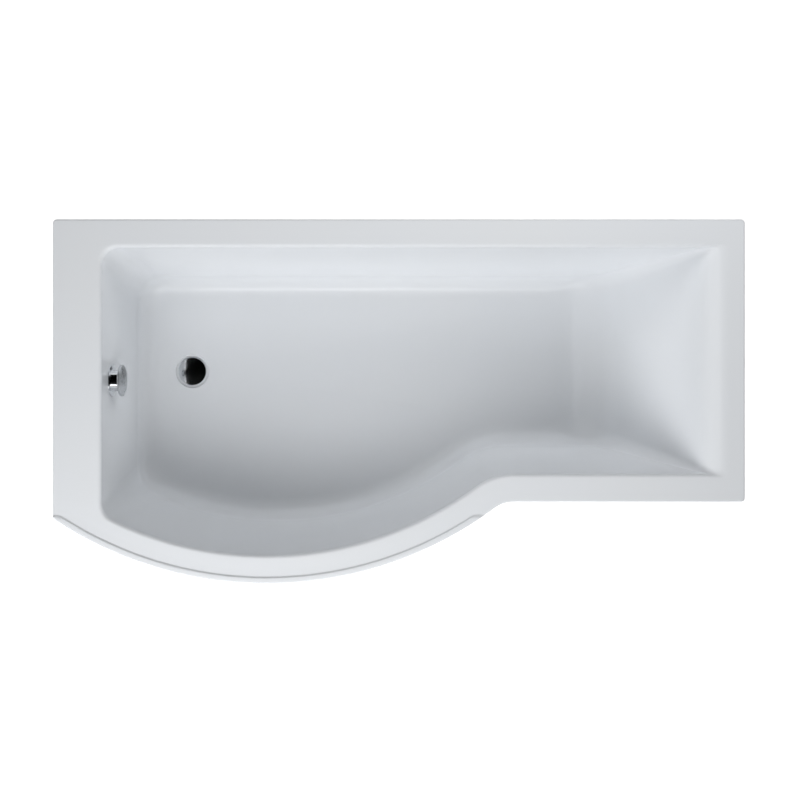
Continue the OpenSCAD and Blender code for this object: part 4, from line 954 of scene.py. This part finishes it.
class BATH_OT_base_and_battens(bpy.types.Operator):
    """Dresses the base board and the timber battens under the rim"""

    bl_idname = "shower_bath.base_and_battens"
    bl_label = "Base board and battens"

    def execute(self, context):
        refined("base_board", "baseboard", "board", 0.0008)
        for place, finish in (("rear", "pine along"), ("bulge", "pine along"), ("front", "pine along"),
                              ("tap_end", "pine across"), ("head_end", "pine across")):
            refined(f"batten_{place}", f"rim_batten_{place}", finish, 0.0012)
        return {"FINISHED"}


def islands(node):
    """The lowest and highest corners of each separate solid of a node."""
    bm = bmesh.new()
    bm.from_mesh(NODES[node].data)
    bmesh.ops.remove_doubles(bm, verts=bm.verts, dist=2e-6)
    seen, boxes = set(), []
    for start in bm.verts:
        if start in seen:
            continue
        seen.add(start)
        members = [start]
        for v in members:
            fresh = [e.other_vert(v) for e in v.link_edges if e.other_vert(v) not in seen]
            seen.update(fresh)
            members += fresh
        co = np.array([v.co for v in members])
        boxes.append((Vector(co.min(0)), Vector(co.max(0))))
    bm.free()
    return boxes


def wood_screws(name, node, head_height, shank=None):
    """A cross-head screw in the place of each screw of a node, its shank half its head if not given."""
    parts = []
    for low, high in islands(node):
        head = (high.x - low.x) / 2
        place = (low.x + high.x) / 2, (low.y + high.y) / 2, low.z + head_height
        body = screw(shank or head / 2, high.z - low.z - head_height, head, head_height)
        parts.append(moved(body, Matrix.Translation(place)))
    piece(name, *joined(parts), "zinc", [node], sharp=40)


class BATH_OT_cradle(bpy.types.Operator):
    """Dresses the leg bars, the centre plate and their screws, and builds the threaded levelling feet"""

    bl_idname = "shower_bath.cradle"
    bl_label = "Cradle and levelling feet"

    bar_web = 0.002  # thickness of the bars' webs
    clearance = 0.00005  # between a stud and its nuts

    def execute(self, context):
        f = context.scene.bath_fittings
        refined("leg_bar_tap", "leg_bar_tap_end", "zinc", 0.0006)
        refined("leg_bar_head", "leg_bar_head_end", "zinc", 0.0006)
        refined("centre_plate", "centre_leg_plate", "zinc", 0.0005)
        low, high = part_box("foot_nuts_upper")
        height = high.z - low.z
        upper, lower = [], []
        for foot in range(1, 6):
            stud = f"foot_stud_{foot}"
            bottom, top = (corner.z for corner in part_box(stud))
            at, radius = middle(stud), half_width(stud)
            at.z = 0.0
            rod = helix(radius, f.stud_depth, f.stud_pitch, bottom, top, 28)
            rod = moved(rod, Matrix.Translation(at))
            piece(f"levelling_stud_{foot}", *rod, "zinc", [stud], f"foot_{foot}", 60.0)
            self.pad(foot, at)
            nut = hex_nut(f.nut_width, height, radius + self.clearance)
            if foot < 5:
                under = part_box("leg_bar_tap_end")[1].z - self.bar_web
                upper.append(moved(nut, Matrix.Translation((at.x, at.y, low.z))))
            else:
                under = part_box("centre_leg_plate")[0].z
            lower.append(moved(nut, Matrix.Translation((at.x, at.y, under - height))))
        piece("nuts_upper", *joined(upper), "zinc", ["foot_nuts_upper"], sharp=30)
        piece("nuts_lower", *joined(lower), "zinc", ["foot_nuts_lower"], sharp=30)
        wood_screws("bar_screws", "leg_bar_screws", 0.003)
        wood_screws("plate_screws", "centre_plate_screws", 0.003)
        return {"FINISHED"}

    @staticmethod
    def pad(foot, at):
        """The moulded pad under a stud."""
        node = f"foot_pad_{foot}"
        r, top = half_width(node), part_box(node)[1].z
        outline = rounded([(0.0, 0.0), (r, 0.0), (r, 0.008), (0.0145, 0.0086), (0.012, 0.0115), (0.012, top),
                           (0.0062, top), (0.00605, 0.010), (0.0, 0.010)], 0.0012)
        pad = moved(turned(outline), Matrix.Translation(at))
        piece(f"foot_{foot}_pad", *pad, "black plastic", [node], f"foot_{foot}", 50.0)


class BATH_OT_wall_brackets(bpy.types.Operator):
    """Dresses the four wall brackets and builds their screws"""

    bl_idname = "shower_bath.wall_brackets"
    bl_label = "Wall brackets"

    def execute(self, context):
        for place in ("rear_tap", "rear_head", "tap_end", "head_end"):
            refined(f"bracket_{place}", f"wall_bracket_{place}", "zinc", 0.0005)
        wood_screws("screws_of_brackets", "bracket_screws", 0.0025, shank=0.002)
        return {"FINISHED"}


class BATH_OT_waste(bpy.types.Operator):
    """Builds the pop-up waste: plug, flange, seals, body with its threaded outlet, and the lift gear"""

    bl_idname = "shower_bath.waste"
    bl_label = "Pop-up waste"

    # the outlet's thread and the top of its tail, above the waste's lowest point; the thread's wall
    thread_low, thread_high, tail_top = 0.0004, 0.0235, 0.0258
    thread_wall = 0.003

    def execute(self, context):
        f = context.scene.bath_fittings
        at = middle("plug_cap")
        at.z = 0.0
        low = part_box("waste_body")[0].z
        outlet = f.outlet_radius
        root = outlet - f.outlet_depth - 0.0002

        def slim(bm):
            """Takes the outlet's tail down below the root of its thread."""
            for v in bm.verts:
                away = Vector((v.co.x - at.x, v.co.y - at.y, 0.0))
                if v.co.z < low + self.tail_top and abs(away.length - outlet) < 0.0003:
                    away = away.normalized() * root
                    v.co.x, v.co.y = at.x + away.x, at.y + away.y

        dome = moved(self.dome(), Matrix.Translation(at))
        piece("plug_dome", *dome, "chrome", ["plug_cap"], BODY_OF["plug_cap"], 50)
        refined("waste_ring", "waste_flange", "chrome", 0.0005, weld=0.0003)
        refined("plug_ring_seal", "plug_seal", "rubber", 0.0004)
        refined("plug_spindle", "plug_stem", "stainless", 0.0004)
        refined("pin_with_collar", "lift_pin", "brass", 0.0004)
        refined("lever_arm", "lift_lever", "stainless", 0.0003)
        refined("lever_pivot", "lever_pin", "stainless", 0.0003)
        refined("seal_above", "waste_seal_upper", "rubber", 0.0003)
        refined("seal_below", "waste_seal_lower", "rubber", 0.0006)
        refined("waste_chamber", "waste_body", "white plastic", 0.0005, edit=slim)
        thread = helix(outlet, f.outlet_depth, f.outlet_pitch, low + self.thread_low, low + self.thread_high,
                       72, outlet - self.thread_wall)
        piece("outlet_thread", *moved(thread, Matrix.Translation(at)), "white plastic", sharp=60)
        return {"FINISHED"}

    @staticmethod
    def dome():
        """The plug's crowned cap with the hub under it."""
        low, high = (corner.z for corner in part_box("plug_cap"))
        radius, hub, bore, steps = half_width("plug_cap"), 0.00875, 0.00355, 24
        under, socket = low + 0.0065, low + 0.0055
        rise = high - under - 0.0015
        ball = (radius ** 2 + rise ** 2) / (2 * rise)
        profile = [(0.0, socket), (bore, socket), (bore, low), (hub - 0.0005, low), (hub, low + 0.0005),
                   (hub, under - 0.0006), (hub + 0.0006, under), (radius - 0.0008, under),
                   (radius - 0.0002, under + 0.0002), (radius, under + 0.0007)]
        for k in range(steps):
            x = radius * math.cos(math.pi / 2 * k / steps) - 0.0001 * (1 - k / steps)
            profile.append((x, high - ball + math.sqrt(ball * ball - x * x)))
        return turned(profile + [(0.0, high)], 128)


class BATH_OT_overflow(bpy.types.Operator):
    """Builds the overflow: rosette, knob, spindle, seal, chest, drum and case"""

    bl_idname = "shower_bath.overflow"
    bl_label = "Overflow and knob"

    # heights along the overflow's axis, out of the wall
    hub_low, hub_high, disc_low, disc_high = 0.0194, 0.0240, 0.0234, 0.0304
    spindle_hole = 0.00405
    screw_out, screw_aside = 0.0031, 0.015

    def execute(self, context):
        f = context.scene.bath_fittings
        at = overflow_frame()
        refined("overflow_rosette", "overflow_flange", "chrome", 0.0004)
        body = BODY_OF["overflow_knob"]
        disc = self.washer(0.0, f.knob_radius, self.disc_low, self.disc_high, 0.0018, 6)
        hub = self.washer(self.spindle_hole, f.knob_hub_radius, self.hub_low, self.hub_high, 0.0005, 2)
        piece("knob_disc", *moved(turned(disc, 128), at), "satin chrome", ["overflow_knob"], body, 50)
        piece("knob_hub", *moved(turned(hub), at), "chrome", body=body, sharp=50)
        refined("spindle", "knob_spindle", "stainless", 0.0004)
        refined("drum", "cable_drum", "black plastic", 0.0003)
        parts = []
        for side in (-1, 1):
            place = at @ Matrix.Translation((0.0, side * self.screw_aside, self.screw_out))
            parts.append(moved(screw(0.002, 0.0243, 0.004, 0.003), place @ Matrix.Rotation(math.pi, 4, "X")))
        piece("rosette_screws", *joined(parts), "stainless", ["overflow_screws"], sharp=40)
        refined("overflow_gasket", "overflow_seal", "rubber", 0.0006)
        refined("overflow_chest", "overflow_body", "white plastic", 0.0006)
        refined("drum_case", "cable_case", "black plastic", 0.0005)
        refined("drum_case_lid", "cable_case_cover", "black plastic", 0.0006)
        return {"FINISHED"}

    @staticmethod
    def washer(inner, outer, low, high, edge, steps):
        """Profile of a disc or a sleeve with rounded edges."""
        return rounded([(inner, low), (outer, low), (outer, high), (inner, high)], edge, steps)


class Route:
    """A straight down the wall, a bend and a level straight into the waste."""

    def __init__(self, start, stop, straight):
        self.start = Vector(start)
        self.tilt = bpy.context.scene.bath_shell.tap_lean
        flat = Vector((stop[0] - start[0], stop[1] - start[1]))
        drop = start[2] - stop[2]
        c, s, t = math.cos(self.tilt), math.sin(self.tilt), math.tan(self.tilt)
        self.across = flat.normalized()
        self.bend = (flat.length - straight - drop * t) / (c - t * (1 - s))
        self.fall = (drop - self.bend * (1 - s)) / c
        self.turn = math.pi / 2 - self.tilt
        self.length = self.fall + self.bend * self.turn + straight

    def ring(self, at, radius, sides):
        """Ring of a tube at a distance along the route."""
        a = self.turn - min(self.turn, max(0.0, at - self.fall) / self.bend)
        down, level = min(at, self.fall), max(0.0, at - self.fall - self.bend * self.turn)
        c, s = math.cos(self.tilt), math.sin(self.tilt)
        h = down * s + self.bend * (c - math.sin(a)) + level
        v = -down * c + self.bend * (s - math.cos(a))
        u = self.across
        centre = self.start + Vector((h * u.x, h * u.y, v))
        side = Vector((-u.y, u.x, 0.0))
        up = Vector((math.sin(a) * u.x, math.sin(a) * u.y, math.cos(a)))
        return [centre + radius * (math.cos(t) * side + math.sin(t) * up) for t in angles(sides)]


class BATH_OT_pipe_and_cable(bpy.types.Operator):
    """Builds the ribbed overflow pipe, its two nuts and the pull cable from the knob to the waste"""

    bl_idname = "shower_bath.pipe_and_cable"
    bl_label = "Overflow pipe and pull cable"

    # where each starts and ends, as in the solids, and how long its last straight is
    pipe_route = (-0.746855, 0.050, 0.397452), (-0.599750, 0.0665327, 0.127), 0.026
    cable_route = (-0.774275, 0.044, 0.441229), (-0.595718, 0.0664994, 0.103734), 0.028
    # one rib: place along it, share of its height
    rib = ((0.10, 0.0), (0.24, 0.35), (0.34, 0.85), (0.44, 1.0),
           (0.56, 1.0), (0.66, 0.85), (0.76, 0.35), (0.90, 0.0))

    def execute(self, context):
        f = context.scene.bath_fittings
        pipe = Route(*self.pipe_route)
        pitch, sides, inner = pipe.length / (f.pipe_ribs + 1), 48, 30
        stations = [(0.0, f.pipe_root)]
        for k in range(f.pipe_ribs):
            for along, share in self.rib:
                radius = f.pipe_root + (f.pipe_crest - f.pipe_root) * share
                stations.append(((k + 0.5 + along) * pitch, radius))
        stations.append((pipe.length, f.pipe_root))
        stations += [(pipe.length * k / inner, f.pipe_bore) for k in range(inner, -1, -1)]
        points = [p for at, r in stations for p in pipe.ring(at, r, sides)]
        faces = strips(len(stations), sides, closed=True)
        piece("ribbed_pipe", points, faces, "ribbed pipe", ["overflow_pipe"], sharp=60)

        cable = Route(*self.cable_route)
        steps, sides = 110, 20
        points = []
        for k in range(steps + 1):
            points += cable.ring(cable.length * k / steps, f.cable_radius, sides)
        faces = strips(steps + 1, sides) + [range(sides)[::-1], range(steps * sides, (steps + 1) * sides)]
        piece("control_cable", points, faces, "cable sheath", ["pull_cable"], sharp=50)

        waste = middle("plug_cap")
        centre = middle("pipe_nut_lower")
        into_waste = Vector((centre.x - waste.x, centre.y - waste.y, 0.0)).normalized()
        self.nut("pipe_nut_upper", "nut_at_overflow", overflow_frame().to_3x3() @ Vector((1, 0, 0)))
        self.nut("pipe_nut_lower", "nut_at_waste", into_waste)
        return {"FINISHED"}

    @staticmethod
    def nut(node, name, axis):
        """The nut with grips cut round its outside."""
        f = bpy.context.scene.bath_fittings
        length, smooth = 0.014, 0.0165
        profile = [(0.0145, 0.0), (0.0175, 0.0), (0.018, 0.0006), (0.018, 0.0125),
                   (0.0168, length), (0.0134, length), (0.0134, 0.009), (0.0145, 0.009)]

        def grip(r, a):
            wave = min(1.0, 1.6 * (0.5 + 0.5 * math.cos(a * f.grip_flutes)))
            return r - f.grip_depth * (1 - wave) if r >= smooth else r

        turn = axis.to_track_quat("Z", "Y").to_matrix().to_4x4()
        place = Matrix.Translation(middle(node) - axis * length / 2) @ turn
        nut = moved(turned(profile, f.grip_flutes * 12, grip), place)
        piece(name, *nut, "white plastic", [node], sharp=40)


# ---- Stage ----

SOFTBOXES = (
    # name, place, aim, width, height, watts, whether gloss mirrors it
    ("key_softbox", (-0.10, -2.08, 2.27), (-0.10, 0.0, 0.40), 1.8, 0.9, 9.8, True),
    ("high_softbox", (-0.90, -1.48, 2.77), (-0.90, 0.0, 0.40), 2.6, 0.9, 17.0, False),
    ("front_softbox", (-0.60, -1.30, 1.90), (-0.30, 0.10, 0.40), 1.4, 0.8, 8.9, False),
    ("rear_softbox", (0.60, 1.60, 1.70), (0.0, 0.0, 0.40), 1.6, 0.8, 14.0, False),
)
WALLS = (
    # axis, sign, height where the light on the wall starts, is full, is full still and ends, strength
    ("Y", -1, (0.25, 0.45, 0.65, 0.80), 1.17),
    ("Y", -1, (0.65, 0.80, 0.90, 0.945), 0.79),
    ("X", -1, (0.25, 0.45, 0.65, 0.80), 0.56),
)


class BATH_OT_stage(bpy.types.Operator):
    """Sets up the floor, the soft studio light and the camera above the bath"""

    bl_idname = "shower_bath.stage"
    bl_label = "Floor, light and camera"

    frame_pixels = 800.0
    shift_pixels = (-5.0, -38.0)
    floor_half = 16.0

    def execute(self, context):
        scene, s = context.scene, context.scene.bath_stage
        self.floor(s)
        self.room(s)
        for name, place, aim, wide, high, watts, mirrored in SOFTBOXES:
            light = bpy.data.lights.new(name, "AREA")
            light.shape, light.size, light.size_y = "RECTANGLE", wide, high
            light.energy = watts * s.softbox_gain
            obj = placed(name, light)
            obj.location = place
            obj.rotation_euler = (Vector(aim) - Vector(place)).to_track_quat("-Z", "Y").to_euler()
            obj.visible_camera, obj.visible_glossy = False, mirrored
        lens = bpy.data.cameras.new("camera")
        lens.lens, lens.sensor_width, lens.sensor_fit = s.focal_length, 36.0, "AUTO"
        lens.shift_x, lens.shift_y = (p / self.frame_pixels for p in self.shift_pixels)
        lens.clip_end = 60.0
        scene.camera = placed("camera", lens)
        scene.camera.location = (s.camera_along, s.camera_across, s.camera_height)
        scene.view_settings.view_transform, scene.view_settings.look = "Standard", "None"
        return {"FINISHED"}

    def floor(self, s):
        half = self.floor_half
        corners = [(-half, -half, 0), (half, -half, 0), (half, half, 0), (-half, half, 0)]
        obj = placed("studio_floor", raw_mesh("studio_floor", corners, [(0, 1, 2, 3)]))
        glow = {"Roughness": 0.7, "Emission Color": (1.0, 1.0, 1.0), "Emission Strength": s.floor_glow}
        made, tree, inputs = new_material("studio floor", glow)
        white = tuple(s.floor_white)
        tree.link(tree.mix(tree.noise(tree.place(), 2.0), white, shaded(white, 0.985)), inputs["Base Color"])
        obj.data.materials.append(made)

    @staticmethod
    def room(s):
        """White for the camera, soft walls for the bath, a dark ceiling with one panel for gloss."""
        world = bpy.data.worlds.new("room")
        bpy.context.scene.world = world
        world.use_nodes = True
        world.node_tree.nodes.clear()
        tree = Tree(world.node_tree)
        times, plus, over, ramp = tree.times, tree.plus, tree.over, tree.ramp
        way = tree.add("SeparateXYZ", {0: tree.add("TexCoord").outputs["Generated"]}).outputs
        flat = tree.math("SQRT", plus(times(way["X"], way["X"]), times(way["Y"], way["Y"])))
        flat = tree.math("MAXIMUM", flat, 0.01)
        walls = 0.0
        for axis, sign, (start, full, still, end), strength in WALLS:
            facing = tree.math("MAXIMUM", times(over(way[axis], flat), sign), 0.0)
            band = times(ramp(way["Z"], start, full), ramp(way["Z"], still, end, 1.0, 0.0))
            walls = plus(walls, times(times(facing, band), strength))
        # a panel on the ceiling with a bright tube at its edge; along and across are places on the ceiling
        up = tree.math("MAXIMUM", way["Z"], 0.01)
        along, across = over(way["X"], up), tree.math("ABSOLUTE", over(way["Y"], up))
        panel = times(ramp(along, -0.36, -0.375), ramp(along, -2.2, -1.8))
        panel = times(panel, ramp(across, 0.9, 0.8))
        tube = times(ramp(along, -0.36, -0.37), ramp(along, -0.41, -0.40))
        panel = times(panel, plus(0.50, times(tube, 1.5)))
        # a pale band low round the room, brighter across the bath than along it
        skyline = times(ramp(way["Z"], 0.02, 0.10), ramp(way["Z"], 0.34, 0.46, 1.0, 0.0))
        sides = ramp(over(tree.math("ABSOLUTE", way["Y"]), flat), 0.5, 0.95, 0.30, 0.90)
        mirrored = plus(panel, times(skyline, sides))
        path = tree.add("LightPath").outputs
        gloss = path["Is Glossy Ray"]
        light = plus(times(walls, tree.math("SUBTRACT", 1.0, gloss)), times(mirrored, gloss))
        lit = tree.add("Background", {"Color": (0.97, 0.985, 1.0), "Strength": times(light, s.room_gain)})
        seen = tree.add("Background", {"Color": (1.0, 1.0, 1.0), "Strength": 1.0})
        mix = tree.add("MixShader", {0: path["Is Camera Ray"], 1: lit.outputs[0], 2: seen.outputs[0]})
        tree.link(mix.outputs[0], tree.add("OutputWorld").inputs["Surface"])


# ---- Add-on ----

class BATH_PT_panel(bpy.types.Panel):
    """Lists the steps that build the bath"""

    bl_label = "Shower bath"
    bl_idname = "BATH_PT_panel"
    bl_space_type = "VIEW_3D"
    bl_region_type = "UI"
    bl_category = "Shower bath"

    def draw(self, context):
        for step in STEPS:
            self.layout.operator(step.bl_idname)


STEPS = (
    BATH_OT_acrylic_shell,
    BATH_OT_laminate,
    BATH_OT_base_and_battens,
    BATH_OT_cradle,
    BATH_OT_wall_brackets,
    BATH_OT_waste,
    BATH_OT_overflow,
    BATH_OT_pipe_and_cable,
    BATH_OT_stage,
)
CLASSES = (ShellSettings, FittingSettings, StageSettings, *STEPS, BATH_PT_panel)


def register():
    for cls in CLASSES:
        bpy.utils.register_class(cls)
    bpy.types.Scene.bath_shell = PointerProperty(type=ShellSettings)
    bpy.types.Scene.bath_fittings = PointerProperty(type=FittingSettings)
    bpy.types.Scene.bath_stage = PointerProperty(type=StageSettings)


def unregister():
    del bpy.types.Scene.bath_stage
    del bpy.types.Scene.bath_fittings
    del bpy.types.Scene.bath_shell
    for cls in reversed(CLASSES):
        bpy.utils.unregister_class(cls)


def main():
    register()
    for step in STEPS:
        group, name = step.bl_idname.split(".")
        getattr(getattr(bpy.ops, group), name)()


if __name__ == "__main__":
    main()
